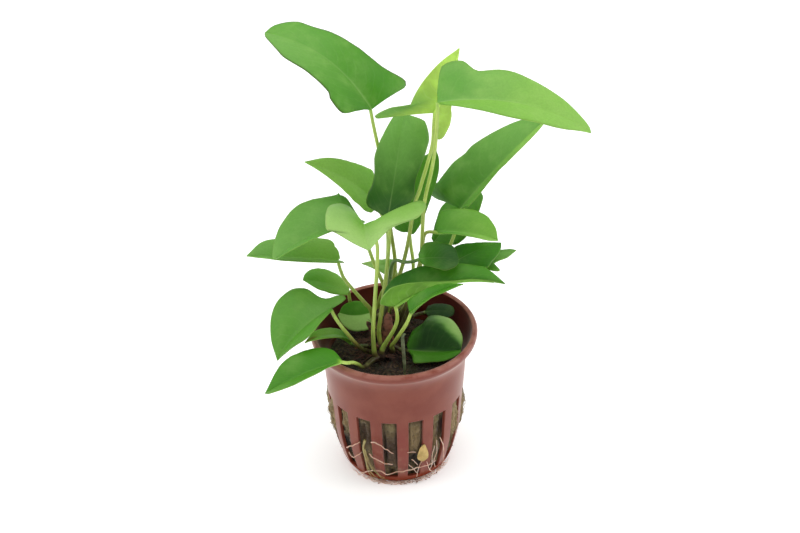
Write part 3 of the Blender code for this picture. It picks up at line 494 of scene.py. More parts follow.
# Finer roots, drawn in the same way, and the strands that the greenish root splits into
FINE_ROOTS = (
    ((9.0, 15.0, 0.1), (12.5, 15.2, 0.25), (16.1, 14.7, 0.2)),
    ((10.3, 9.8, 0.1), (14.0, 7.6, 0.3), (18.6, 5.0, 0.4)),
    ((12.8, 11.9, 0.1), (15.5, 10.6, 0.2), (18.7, 8.7, 0.3)),
    ((19.0, 3.4, 0.5), (20.2, 7.4, 0.3), (22.3, 9.9, 0.2)),
    ((27.0, 9.5, 0.6), (30.0, 6.2, 0.8), (33.5, 4.0, 0.8), (39.0, 2.2, 0.8)),
    ((34.0, 15.0, 0.4), (32.0, 11.0, 0.6), (33.5, 7.0, 0.7), (31.0, 4.6, 0.8)),
    ((36.0, 16.5, 0.3), (37.0, 12.0, 0.5), (35.0, 8.6, 0.6), (38.0, 5.0, 0.8)),
)
GREEN_STRANDS = (
    ((-27.5, 16.0, 1.0), (-25.0, 10.5, 1.0), (-20.0, 6.5, 0.9), (-13.0, 3.4, 0.8)),
    ((-27.5, 13.0, 1.2), (-23.5, 8.0, 1.1), (-17.5, 4.4, 1.0), (-9.5, 2.4, 0.8)),
    ((-28.0, 10.0, 1.0), (-26.5, 6.5, 1.0), (-23.0, 3.6, 0.9), (-18.5, 1.8, 0.8)),
    ((-28.2, 9.0, 0.9), (-28.6, 6.0, 0.8), (-27.0, 3.2, 0.8), (-24.0, 1.4, 0.8)),
)
ROOT_SIDES = 8
ROOT_RINGS_PER_POINT = 8
ROOT_THINNING = 0.56
ROOT_WOBBLE = 0.5
GREEN_STRAND_RADIUS = 0.22
FINE_ROOT_RADIUS = 0.11
FINE_ROOT_WOBBLE = 0.4

# Fringe of hair roots round the pot's foot, and crumbs in it
FRINGE_COUNT = 150
FRINGE_START = 15.5
FRINGE_ANGLES = (-50, 60)
FRINGE_SPANS = (4, 15)
FRINGE_OFFSETS = (-1.1, 0.5)
FRINGE_HEIGHTS = (0.15, 1.2)
FRINGE_RADII = (0.04, 0.075)
CRUMB_COUNT = 80
CRUMB_MIDDLE = 18
CRUMB_SPREAD = 13
CRUMB_HEIGHTS = (0.15, 0.9)
CRUMB_OFFSETS = (-0.3, 1.1)
CRUMB_SIZES = (0.12, 0.38)

# Old leaf sheaths round the stalks' feet: foot, head, half width, lean of the flat side in degrees
SHEATH_SIDES = 14
SHEATH_FLATNESS = 0.22
SHEATH_BOW = (0.4, -0.5, 0.0)
SHEATHS = (
    ((-2.8, -2.4, 43.0), (-1.7, -1.9, 54.0), 1.7, 10),
    ((-3.4, -0.4, 43.0), (-3.0, 0.6, 51.0), 1.4, -20),
    ((-1.2, 3.6, 42.5), (0.2, 4.2, 51.0), 1.3, -25),
    ((-5.8, -1.4, 43.0), (-6.6, -1.0, 49.0), 1.2, 20),
    ((-6.2, 2.6, 43.2), (-8.2, 3.0, 47.5), 1.1, 40),
    ((-5.4, -5.0, 42.4), (-6.2, -5.6, 45.8), 0.9, 0),
    ((-2.0, -3.4, 42.6), (-0.6, -3.8, 47.0), 0.9, -30),
    ((-1.8, 8.0, 42.8), (0.6, 8.4, 49.0), 1.2, -15),
)

# Stub of an old stalk that stands in the wool at the front
STUB = ((2.9, -12.4, 37.0), (2.9, -12.2, 41.0), (2.7, -11.6, 46.0), (2.5, -11.2, 51.5), (3.3, -11.0, 52.6))
STUB_SIDES = 12
STUB_RADII = (0.312, 0.432, 0.528, 0.504, 0.24)

# Scrap of dead leaf caught in a slot at the front. Its edge is drawn by (angle, height) points
SCRAP_OUTLINE = ((20.0, 16.5), (22.5, 17.4), (24.7, 17.4), (25.8, 15.5), (28.1, 13.9), (28.6, 12.0),
                 (29.3, 10.1), (26.8, 10.4), (24.7, 9.1), (21.2, 10.1), (17.7, 11.2), (16.8, 12.8),
                 (18.8, 14.9))
SCRAP_MIDDLE = (23.5, 13.5)
SCRAP_BULGE = 0.8
SCRAP_EDGE_LIFT = 0.25
SCRAP_RUFFLE = 0.35
SCRAP_THICKNESS = 0.2

# Softboxes. Name, place and aim in metres, size in metres and power in watts
SOFTBOXES = (
    ("top_softbox", (0.0, 0.0, 0.75), (0, 0, 0.05), 0.7, 2.9),
    ("left_softbox", (-0.75, -0.15, 0.45), (0, 0, 0.06), 0.5, 2.0),
    ("right_softbox", (0.75, -0.05, 0.4), (0, 0, 0.06), 0.5, 1.8),
)
WORLD_BEHIND = 0.85
WORLD_IN_FRONT = 0.42


def linear(hex_colour):
    """Scene-linear colour of an sRGB hex string such as #659C3E."""
    values = [int(hex_colour[index:index + 2], 16) / 255 for index in (1, 3, 5)]
    return tuple(value / 12.92 if value <= 0.04045 else ((value + 0.055) / 1.055) ** 2.4
                 for value in values)


def smooth_path(points, per_span=10):
    """Dense points on a smooth curve through the given ones."""
    ends = [tuple(2 * a - b for a, b in zip(points[0], points[1]))]
    ends += list(points)
    ends += [tuple(2 * a - b for a, b in zip(points[-1], points[-2]))]
    dense = [tuple(points[0])]
    for p0, p1, p2, p3 in zip(ends, ends[1:], ends[2:], ends[3:]):
        for step in range(1, per_span + 1):
            t = step / per_span
            dense.append(tuple(
                0.5 * (2 * b + (c - a) * t + (2 * a - 5 * b + 4 * c - d) * t * t
                       + (3 * b - a - 3 * c + d) * t ** 3)
                for a, b, c, d in zip(p0, p1, p2, p3)))
    return dense


def even_path(points, count):
    """count + 1 points at even distances along a smooth curve through the given ones."""
    points = smooth_path(points)
    lengths = [0.0]
    for a, b in zip(points, points[1:]):
        lengths.append(lengths[-1] + math.dist(a, b))
    result = []
    span = 0
    for step in range(count + 1):
        target = lengths[-1] * step / count
        while span < len(points) - 2 and lengths[span + 1] < target:
            span += 1
        part = (target - lengths[span]) / (lengths[span + 1] - lengths[span])
        result.append(tuple(a + (b - a) * part for a, b in zip(points[span], points[span + 1])))
    return result


def smoothstep(low, high, value):
    t = min(1.0, max(0.0, (value - low) / (high - low)))
    return t * t * (3 - 2 * t)


def between(table, value):
    """Second column of a table of pairs at a value of its first column."""
    for (v0, r0), (v1, r1) in zip(table, table[1:]):
        if value <= v1:
            return r0 + (r1 - r0) * (value - v0) / (v1 - v0)
    return table[-1][1]


def polar(angle, radius, height):
    """Point at an angle in degrees from the pot's front (-Y) towards +X, in millimetres."""
    turn = math.radians(angle)
    return Vector((radius * math.sin(turn), -radius * math.cos(turn), height))


WALL_TABLE = [(height, radius) for radius, height in smooth_path((*FOOT[-1:], *WALL, *LIP[:1]))]


def wall_radius(height):
    """Outer radius of the pot's wall at a height."""
    return between(WALL_TABLE, max(height, WALL_TABLE[0][0]))


def slot_angle(index):
    return SLOT_FIRST + index * 360.0 / SLOT_COUNT


# Node materials

class Nodes:
    """Short calls for building one material's nodes."""

    def __init__(self, name):
        self.material = bpy.data.materials.new(name)
        self.material.use_nodes = True
        self.tree = self.material.node_tree
        self.shader = self.tree.nodes["Principled BSDF"]

    def add(self, kind, **settings):
        node = self.tree.nodes.new(kind)
        for key, value in settings.items():
            setattr(node, key, value)
        return node

    def put(self, socket, value):
        """Links a socket to another one, or sets its constant."""
        if isinstance(value, bpy.types.NodeSocket):
            self.tree.links.new(value, socket)
        else:
            socket.default_value = value

    def fill(self, node, *values):
        """Puts numbers, vectors and links into a node's first inputs."""
        for socket, value in zip(node.inputs, values):
            self.put(socket, value)
        return node.outputs

    def math(self, operation, *values):
        return self.fill(self.add("ShaderNodeMath", operation=operation), *values)[0]

    def times(self, a, b):
        return self.math("MULTIPLY", a, b)

    def line(self, value, slope, start):
        """value times slope, plus start."""
        return self.math("MULTIPLY_ADD", value, slope, start)

    def vector(self, operation, *values):
        return self.fill(self.add("ShaderNodeVectorMath", operation=operation), *values)

    def split(self, vector):
        return self.fill(self.add("ShaderNodeSeparateXYZ"), vector)

    def place(self):
        """Position on the object, in metres."""
        return self.add("ShaderNodeTexCoord").outputs["Object"]

    def blend(self, factor, a, b):
        """Mix of two colours, each a socket or a linear colour."""
        node = self.add("ShaderNodeMix", data_type="RGBA")
        self.put(node.inputs[0], factor)
        for socket, value in ((node.inputs[6], a), (node.inputs[7], b)):
            self.put(socket, (*value, 1.0) if isinstance(value, tuple) else value)
        return node.outputs[2]

    def ramp(self, factor, *stops):
        """Smooth map of a value to 0..1 through (position, value) stops."""
        node = self.add("ShaderNodeValToRGB")
        node.color_ramp.interpolation = "EASE"
        elements = node.color_ramp.elements
        while len(elements) < len(stops):
            elements.new(0.5)
        for element, (position, value) in zip(elements, stops):
            element.position = position
            element.color = (value, value, value, 1.0)
        return self.fill(node, factor)[0]

    def patches(self, noise, low, high, colour, shade):
        """A colour with a named shade over it where a noise rises from the low stop to the high one."""
        return self.blend(self.ramp(noise, low, high), colour, named(shade))

    def spot(self, vector, centre, reach):
        """1 at a centre, falling to 0 at reach from it along each axis."""
        away = self.vector("SUBTRACT", vector, centre)[0]
        scaled = self.vector("DIVIDE", away, reach)[0]
        return self.ramp(self.vector("LENGTH", scaled)["Value"], (0.3, 1.0), (1.0, 0.0))

    def noise(self, size, detail=3.0, roughness=0.55, stretch=None, output=0):
        """Noise whose features are about size millimetres wide. Output 0 is a value and 1 a vector."""
        node = self.add("ShaderNodeTexNoise")
        place = self.vector("MULTIPLY", self.place(), stretch)[0] if stretch else self.place()
        for name, value in (("Vector", place), ("Scale", 1.0 / (size * MM)), ("Detail", detail),
                            ("Roughness", roughness)):
            self.put(node.inputs[name], value)
        return node.outputs[output]

    def bump(self, height, distance, strength=1.0):
        """Bump whose full height is a distance in millimetres."""
        node = self.add("ShaderNodeBump")
        for name, value in (("Height", height), ("Distance", distance * MM), ("Strength", strength)):
            self.put(node.inputs[name], value)
        return node.outputs[0]

    def set(self, **values):
        """Constants and links of the Principled shader, such as Roughness."""
        for key, value in values.items():
            self.put(self.shader.inputs[key.replace("_", " ")], value)

    def glow(self, colour, share):
        """Lets a share of the light through, as a thin blade does."""
        through = self.fill(self.add("ShaderNodeBsdfTranslucent"), colour)[0]
        mix = self.fill(self.add("ShaderNodeMixShader"), share, self.shader.outputs[0], through)[0]
        self.put(self.tree.nodes["Material Output"].inputs["Surface"], mix)


def named(name):
    return linear(COLOURS[name])


def blade_map(m):
    """Map of a blade, how far along, across from the left, and out from the midrib, each 0 to 1."""
    uv = m.add("ShaderNodeUVMap", uv_map="blade").outputs[0]
    along, side, _ = m.split(uv)
    return uv, along, side, m.math("ABSOLUTE", m.line(side, 2.0, -1.0))


def blade_lines(m, along, out):
    """Side veins that run out towards the tip, the midrib, and the thin edge, each 0 to 1."""
    drift = m.line(m.noise(5.0, 2.0), 0.09, -0.045)
    slant = m.times(m.math("POWER", out, 1.4), VEIN_SLANT)
    bent = m.math("SUBTRACT", m.math("ADD", along, drift), slant)
    phase = m.math("ABSOLUTE", m.math("SUBTRACT", m.math("FRACT", m.times(bent, VEINS_PER_BLADE)), 0.5))
    vein = m.times(m.ramp(phase, (0.0, 1.0), (0.12, 0.0)), m.noise(4.0, 2.0))
    vein = m.times(vein, m.ramp(out, (0.03, 0.0), (0.15, 1.0), (0.7, 0.7), (0.97, 0.0)))
    rib = m.times(m.ramp(out, (0.0, 1.0), (0.05, 0.0)), m.ramp(along, (0.0, 1.0), (0.95, 0.15)))
    return vein, rib, m.ramp(out, (0.955, 0.0), (1.0, 1.0))


def add_lines(m, colour, *lines):
    """Veins, midrib and edge over a blade's colour, each with its strength and shade."""
    for line, strength, shade in lines:
        colour = m.blend(m.times(line, strength), colour, named(shade))
    return colour


def add_tints(m, colour, uv, tints):
    """Soft patches of other greens over a blade's colour."""
    warp = m.vector("MULTIPLY_ADD", m.noise(5.0, 2.0, output=1), (0.12, 0.16, 0), (-0.06, -0.08, 0))[0]
    warped = m.vector("ADD", uv, warp)[0]
    for along, across, reach_along, reach_across, shade in tints:
        part = m.spot(warped, (along, across, 0), (reach_along, reach_across, 1))
        colour = m.blend(part, colour, named(shade))
    return colour


def leaf_material(name, look):
    """Upper side of a blade: its greens, which also paint light and shade, faint veins, pale midrib, thin
    edge and pale patches of painted sheen.
    """
    m = Nodes(name)
    uv, along, side, out = blade_map(m)
    cloud = m.noise(6.0, 3.0)
    shift = m.ramp(m.line(cloud, 0.35, m.math("SUBTRACT", along, 0.17)), (0.08, 0.0), (0.85, 1.0))
    left, right = (m.blend(shift, named(base), named(tip)) for base, tip in (look.left, look.right))
    colour = m.blend(m.ramp(side, (0.47, 0.0), (0.53, 1.0)), left, right)
    colour = add_tints(m, colour, uv, look.tints)
    colour = m.blend(m.line(m.noise(0.6, 3.0), 0.35, -0.05), colour, named("fleck"))
    # Pale patches where the noise is high: painted sheen.
    colour = m.blend(m.times(m.ramp(cloud, (0.45, 0.0), (0.75, 1.0)), 0.16), colour, named("cloud"))
    vein, rib, edge = blade_lines(m, along, out)
    # The edge line: a pale edge is partly the blade's own margin and partly painted rim light.
    edge_shade, edge_strength = look.edge
    colour = add_lines(m, colour, (vein, 0.09, "vein"), (rib, 0.24, "vein"),
                       (edge, edge_strength, edge_shade))
    height = m.math("SUBTRACT", m.times(m.noise(1.4, 2.0), 0.4), m.math("ADD", vein, rib))
    m.set(Base_Color=colour, Roughness=m.line(cloud, 0.16, 0.4), Normal=m.bump(height, 0.1, 0.55),
          IOR=1.38)
    m.glow(m.blend(GLOW_TINT, colour, named("glow")), GLOW_SHARE)
    return m.material


def underside_material(shade, tints):
    """Lower side of a blade: paler and duller, with the veins standing out."""
    m = Nodes(f"underside_{shade}")
    uv, along, _, out = blade_map(m)
    cloud = m.noise(5.0, 3.0)
    deeper = tuple(value * 0.72 for value in named(shade))
    colour = m.patches(cloud, (0.3, 0.0), (0.7, 1.0), deeper, shade)
    colour = add_tints(m, colour, uv, tints)
    vein, rib, edge = blade_lines(m, along, out)
    colour = add_lines(m, colour, (vein, 0.25, "rib"), (rib, 0.4, "rib"), (edge, 0.2, "rib"))
    m.set(Base_Color=colour, Roughness=m.line(cloud, 0.12, 0.52),
          Normal=m.bump(m.math("ADD", vein, rib), 0.1, 0.6), IOR=1.4)
    m.glow(m.blend(GLOW_TINT, colour, named("glow")), GLOW_SHARE)
    return m.material


def stalk_material(foot, middle, head, reach, rib):
    """Stalk: brown where it leaves the rootstock, partly its own brown and partly painted shade low in the
    pot, then its two greens, with fine lengthwise streaks.
    """
    m = Nodes(f"stalk_{foot}_{middle}_{head}_{rib}")
    along = m.split(m.add("ShaderNodeUVMap", uv_map="tube").outputs[0])[0]
    streak = m.noise(0.4, 2.0, stretch=(1.0, 1.0, 0.07))
    colour = m.patches(along, (0.2, 0.0), (0.5, 1.0), named(middle), head)
    # The foot's colour: umber is partly the stalk's own brown and partly painted shade low in the pot.
    colour = m.patches(along, (reach * 0.6, 1.0), (reach * 1.2, 0.0), colour, foot)
    colour = m.patches(streak, (0.35, 0.0), (0.75, 0.4), colour, "streak")
    colour = m.patches(m.noise(2.5, 2.0), (0.5, 0.0), (0.8, 0.3), colour, "pale streak")
    colour = m.patches(along, (0.015, 0.8), (0.05, 0.0), colour, "stalk foot")
    colour = m.patches(along, (0.6, 0.0), (0.66, 0.9), colour, rib)
    m.set(Base_Color=colour, Roughness=0.4, Normal=m.bump(streak, 0.05, 0.6), Subsurface_Weight=0.2,
          Subsurface_Scale=0.8 * MM, Subsurface_Radius=(0.8, 1.0, 0.3), IOR=1.45)
    return m.material


def pot_material():
    """Moulded plastic: clouds, a redder patch, dust low down, a painted highlight on the rim's top, painted
    shade on the inner wall.
    """
    m = Nodes("pot")
    height = m.split(m.place())[2]
    cloud = m.noise(9.0, 4.0)
    colour = m.patches(cloud, (0.3, 0.0), (0.75, 1.0), named("pot"), "light pot")
    red = m.spot(m.place(), tuple(polar(*RED_PATCH) * MM), RED_PATCH_REACH)
    colour = m.blend(m.times(red, 0.7), colour, named("red pot"))
    dust = m.times(m.ramp(m.noise(1.6, 5.0), (0.5, 0.0), (0.8, 1.0)), m.line(height, -40.0, 1.0))
    colour = m.blend(m.math("MAXIMUM", m.times(dust, 0.45), 0.0), colour, named("dust"))
    # Painted highlight: the rim's top is lightened in noisy patches.
    rim_light = m.times(m.ramp(m.times(height, 20.0), (0.915, 0.0), (0.935, 0.4)),
                      m.ramp(m.noise(3.0, 3.0), (0.3, 0.2), (0.6, 1.0)))
    colour = m.blend(rim_light, colour, named("painted rim light"))
    # Painted shade: the inner wall is darkened above a height and inside a cone.
    away = m.vector("LENGTH", m.vector("MULTIPLY", m.place(), (1, 1, 0))[0])["Value"]
    inside = m.math("LESS_THAN", m.line(height, -INSIDE_SLOPE, away), INSIDE_RADIUS * MM)
    upper = m.math("GREATER_THAN", height, INSIDE_START * MM)
    colour = m.blend(m.times(inside, upper), colour, named("inner wall shade"))
    above_foot = m.ramp(m.times(height, 100.0), (0.2, 0.0), (0.6, 1.0))
    m.set(Base_Color=colour, Roughness=m.line(cloud, 0.16, 0.3), IOR=m.line(above_foot, 0.38, 1.0),
          Normal=m.bump(m.noise(0.6, 3.0), 0.04, 0.35), Sheen_Weight=m.times(above_foot, 0.6),
          Sheen_Roughness=0.3, Sheen_Tint=(1.0, 0.85, 0.8, 1.0))
    return m.material


def wool_material():
    """Growing wool: olive and straw fibres in the slots with painted shade between them and in the hollows,
    nearly black and mossy on top.
    """
    m = Nodes("wool")
    fibre = m.noise(0.8, 6.0, stretch=(1.0, 1.0, 0.6), roughness=0.65)
    colour = m.patches(m.noise(6.0, 3.0), (0.35, 0.0), (0.65, 1.0), named("wool"), "light wool")
    # Tints of the wool; the near-black and dark red ones paint shade in the hollows.
    for angle, height, reach, shade in WOOL_TINTS:
        centre = tuple(polar(angle, wall_radius(height) - 1.0, height) * MM)
        spot = m.spot(m.place(), centre, (reach * 0.5 * MM, reach * 0.5 * MM, reach * MM))
        colour = m.blend(spot, colour, named(shade))
    # Painted shade: darker where the fibre noise is low, between the fibres.
    colour = m.patches(fibre, (0.3, 0.6), (0.5, 0.0), colour, "wool gap shade")
    colour = m.patches(fibre, (0.58, 0.0), (0.8, 0.3), colour, "wool thread")
    top = m.patches(m.noise(0.8, 6.0, roughness=0.7), (0.4, 0.0), (0.7, 1.0), named("wool top"), "peat")
    top = m.patches(m.noise(7.0, 2.0), (0.5, 0.0), (0.65, 0.6), top, "wool moss")
    share = m.math("DIVIDE", m.split(m.place())[2], WOOL_TOP * MM)
    colour = m.blend(m.ramp(share, (0.80, 0.0), (0.93, 1.0)), colour, top)
    m.set(Base_Color=colour, Roughness=0.92, Normal=m.bump(fibre, 0.5, 1.1), Sheen_Weight=0.1)
    return m.material


def strand_material(name):
    """Thin strands such as fibres and roots, in two shades."""
    m = Nodes(name)
    dark, light, size, roughness = STRANDS[name]
    tint = m.ramp(m.noise(size * 3, 3.0), (0.35, 0.0), (0.65, 1.0))
    m.set(Base_Color=m.blend(tint, linear(dark), linear(light)), Roughness=roughness,
          Normal=m.bump(m.noise(size * 0.5, 2.0), 0.06, 0.6), Subsurface_Weight=0.15,
          Subsurface_Scale=0.6 * MM)
    return m.material


def rootstock_material():
    """Rough brown bark in two shades."""
    m = Nodes("rootstock")
    bark = m.noise(0.9, 6.0, roughness=0.7)
    m.set(Base_Color=m.patches(bark, (0.35, 0.0), (0.7, 1.0), named("bark"), "light bark"), Roughness=0.75,
          Normal=m.bump(bark, 0.35, 0.9))
    return m.material


def floor_material():
    m = Nodes("floor")
    m.set(Base_Color=m.blend(m.noise(300.0, 2.0), (0.95, 0.95, 0.95), (0.97, 0.97, 0.97)), Roughness=0.75,
          Emission_Color=(1.0, 1.0, 0.99, 1.0), Emission_Strength=0.27)
    return m.material


# Mesh helpers

def add_piece(name, bm, material, node, smooth_angle=180):
    """Finishes a piece: mesh, material, ride and the CAD node that it stands for."""
    mesh = bpy.data.meshes.new(name)
    bm.to_mesh(mesh)
    bm.free()
    mesh.materials.append(material)
    obj = bpy.data.objects.new(name, mesh)
    bpy.context.scene.collection.objects.link(obj)
    mesh.polygons.foreach_set("use_smooth", [True] * len(mesh.polygons))
    mesh.set_sharp_from_angle(angle=math.radians(smooth_angle))
    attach(obj, "root")
    if node:
        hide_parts(node)
    return obj


def add_tube(bm, points, radii, sides, flat=1.0, facing=None):
    """Closed tube along points in millimetres, flat across the way it faces. Its map runs along it."""
    layer = bm.loops.layers.uv.get("tube") or bm.loops.layers.uv.new("tube")
    points = [Vector(point) for point in points]
    normal = facing or (points[1] - points[0]).orthogonal().normalized()
    rings = []
    for index, (point, radius) in enumerate(zip(points, radii)):
        tangent = points[min(index + 1, len(points) - 1)] - points[max(index - 1, 0)]
        tangent.normalize()
        normal = (normal - tangent * normal.dot(tangent)).normalized()
        second = tangent.cross(normal)
        ring = []
        for side in range(sides):
            turn = math.tau * side / sides
            offset = (normal * (flat * math.cos(turn)) + second * math.sin(turn)) * radius
            ring.append(bm.verts.new((point + offset) * MM))
        rings.append(ring)
    last = len(rings) - 1
    for index, (low, high) in enumerate(zip(rings, rings[1:])):
        for side in range(sides):
            after = (side + 1) % sides
            face = bm.faces.new((low[side], low[after], high[after], high[side]))
            for loop, (step, turn) in zip(face.loops, ((0, 0), (0, 1), (1, 1), (1, 0))):
                loop[layer].uv = ((index + step) / last, (side + turn) / sides)
    bm.faces.new(reversed(rings[0]))
    bm.faces.new(rings[-1])


def add_strand(bm, points, radius):
    """Even tube on a smooth curve through a few points."""
    path = smooth_path(points, 3)
    add_tube(bm, path, [radius] * len(path), STRAND_SIDES)


def add_vert(bm, angle, radius, height):
    """Vertex at an angle round the pot, in millimetres."""
    return bm.verts.new(polar(angle, radius, height) * MM)


def tapered(radius, count, end=0.4):
    """Radii that shrink evenly to a share of the first one."""
    return [radius * (1 - (1 - end) * step / (count - 1)) for step in range(count)]


# Leaves

def leaf_frame(leaf):
    """A blade's base, the ways along it, up and to its right, and its length."""
    base = Vector(leaf.base)
    along = Vector(leaf.tip) - base
    length = along.length
    along.normalize()
    up = Vector(leaf.face)
    up = (up - along * up.dot(along)).normalized()
    return base, along, up, along.cross(up), length


def place(leaf, side, a, out, edge_out, rise=0.0):
    """Position of a point of the blade: a along, and out to one side (1 is right, -1 is left).

    edge_out is how far out the edge lies there, and rise lifts the point off the blade.
    """
    base, along, up, right, length = leaf_frame(leaf)
    part = a / length
    bow = 4 * leaf.arch * part * (1 - part) if a > 0 else (4 * leaf.arch / length + leaf.droop) * a
    fold, curl = (math.radians(pair[side > 0]) for pair in (leaf.lift, leaf.curl))
    rise += out * math.sin(fold) + math.tan(curl) * max(0.0, out - edge_out * CURL_START)
    return base + along * a + up * (bow + rise) + right * (side * out * math.cos(fold))


def half_edge(points, length):
    """Edge of one half of a blade, from the lobe to the tip."""
    return even_path((*points, (length, TIP_HALF_WIDTH)), BLADE_ROWS)


def make_blade(number, leaf, look, underside):
    """Blade as a thin closed sheet whose halves crown between the midrib and a gently waved edge."""
    name = f"blade_{number:02d}"
    length = leaf_frame(leaf)[4] - TIP_MARGIN
    edges = {-1: half_edge(leaf.left, length), 1: half_edge(leaf.right, length)}
    bm = bmesh.new()
    layer = bm.loops.layers.uv.new("blade")
    rows = []
    thin = []
    for step in range(BLADE_ROWS + 1):
        reach = step / BLADE_ROWS
        middle = length * reach ** MIDRIB_CROWDING
        fade = math.sin(math.pi * min(1.0, 0.12 + reach * 0.88))
        row = []
        for column in range(-BLADE_COLUMNS, BLADE_COLUMNS + 1):
            side = 1 if column > 0 else -1
            part = abs(column) / BLADE_COLUMNS
            edge_along, edge_out = edges[side][step]
            seed = Vector((reach * WAVES_PER_BLADE, side * 3.7, number * 11.3))
            edge_out -= (EDGE_WOBBLE * abs(noise.noise(seed * 1.7)) + EDGE_MARGIN) * fade
            wave = WAVE_HEIGHT * noise.noise(seed) * part ** 2 * fade * min(1.0, edge_out / 5)
            crown = BLADE_CROWN * edge_out * math.sin(math.pi * part)
            a = middle + (edge_along - middle) * part
            position = place(leaf, side, a, edge_out * part, edge_out, crown + wave)
            position.z = min(position.z, HIGHEST_BLADE)
            row.append((bm.verts.new(position * MM), reach, 0.5 + 0.5 * side * part))
            thin.append(1.0 - EDGE_THINNING * part ** 3)
        rows.append(row)
    for low, high in zip(rows, rows[1:]):
        for column in range(2 * BLADE_COLUMNS):
            corners = (low[column], low[column + 1], high[column + 1], high[column])
            face = bm.faces.new([vert for vert, _, _ in corners])
            for loop, (_, reach, across) in zip(face.loops, corners):
                loop[layer].uv = (reach, across)
    bm.normal_update()
    blade = add_piece(name, bm, leaf_material(name, look), f"leaf_{number:02d}")
    blade.data.materials.append(underside)
    group = blade.vertex_groups.new(name="thickness")
    for index, weight in enumerate(thin):
        group.add([index], weight, "REPLACE")
    solidify = blade.modifiers.new("Thickness", "SOLIDIFY")
    solidify.thickness = BLADE_THICKNESS * MM
    solidify.offset = 0.0
    solidify.material_offset = 1
    solidify.vertex_group = "thickness"
    solidify.thickness_vertex_group = THINNEST


def make_stalk(number, leaf, material):
    """Stalk that grows out of the rootstock, swells at its foot and runs on as the blade's midrib."""
    base, _, up, _, length = leaf_frame(leaf)
    stalk = leaf.stalk
    if len(stalk) > 3 and math.dist(stalk[0], stalk[1]) < SHORT_SPAN:
        stalk = stalk[1:]
    first, second = Vector(stalk[0]), Vector(stalk[1])
    core = Vector((STALK_ORIGIN[0], first.y, STALK_ORIGIN[1]))
    run_in = first - (second - first).normalized() * RUN_IN
    root = run_in.lerp(core, RUN_TO_ORIGIN)
    neck = base - up * RIB_DEPTH
    path = even_path((tuple(root), *stalk, tuple(neck)), STALK_RINGS)
    total = sum(math.dist(a, b) for a, b in zip(path, path[1:]))
    radii = []
    for step in range(STALK_RINGS + 1):
        part = step / STALK_RINGS
        swell = (FOOT_RADIUS - STALK_RADIUS) * math.exp(-part * total / SWELL_HEIGHT)
        radii.append(STALK_RADIUS + (NECK_RADIUS - STALK_RADIUS) * part + swell)
    for step in range(1, RIB_RINGS + 1):
        part = step / RIB_RINGS * RIB_END
        radius = NECK_RADIUS * (1 - part) ** RIB_TAPER * RIB_SHARE + RIB_TIP
        path.append(tuple(place(leaf, 1, part * length, 0.0, 1.0, -RIB_DEPTH - 0.3 * radius)))
        radii.append(radius)
    bm = bmesh.new()
    add_tube(bm, path, radii, STALK_SIDES)
    add_piece(f"petiole_{number:02d}", bm, material, f"stalk_{number:02d}", smooth_angle=60)


def make_leaves():
    undersides = {}
    stalks = {}
    for number, (leaf, look) in enumerate(zip(LEAVES, LOOKS), start=1):
        rib = look.under[0]
        if look.under not in undersides:
            undersides[look.under] = underside_material(*look.under)
        if (look.stalk, rib) not in stalks:
            stalks[look.stalk, rib] = stalk_material(*look.stalk, rib)
        make_blade(number, leaf, look, undersides[look.under])
        make_stalk(number, leaf, stalks[look.stalk, rib])


# Pot

def pot_rings():
    """Profile of the pot as (radius, height) rings, and the places of the slot rows outside and inside."""
    slot_levels = [SLOT_BOTTOM + (SLOT_TOP - SLOT_BOTTOM) * step / SLOT_ROWS
                   for step in range(SLOT_ROWS + 1)]
    top_level = LIP[0][1]
    upper_levels = [SLOT_TOP + (top_level - SLOT_TOP) * step / UPPER_ROWS for step in range(1, UPPER_ROWS)]
    levels = [LOWEST_RING, *slot_levels, *upper_levels]
    outer = [(wall_radius(level), level) for level in levels]
    inner = [(radius - WALL_THICKNESS, level) for radius, level in reversed(outer)]
    inner_foot = FOOT[-1][0] - WALL_THICKNESS
    rings = [*FOOT[1:], *outer, *LIP, *inner, (inner_foot, FLOOR_TOP + FLOOR_CORNER_HEIGHT),
             (inner_foot - FLOOR_CORNER_WIDTH, FLOOR_TOP)]
    outside = [len(FOOT) - 1 + levels.index(level) for level in slot_levels]
    mirror = len(FOOT) - 1 + len(outer) + len(LIP) + len(outer) - 1
    inside = [mirror - levels.index(level) for level in slot_levels]
    return rings, outside, inside


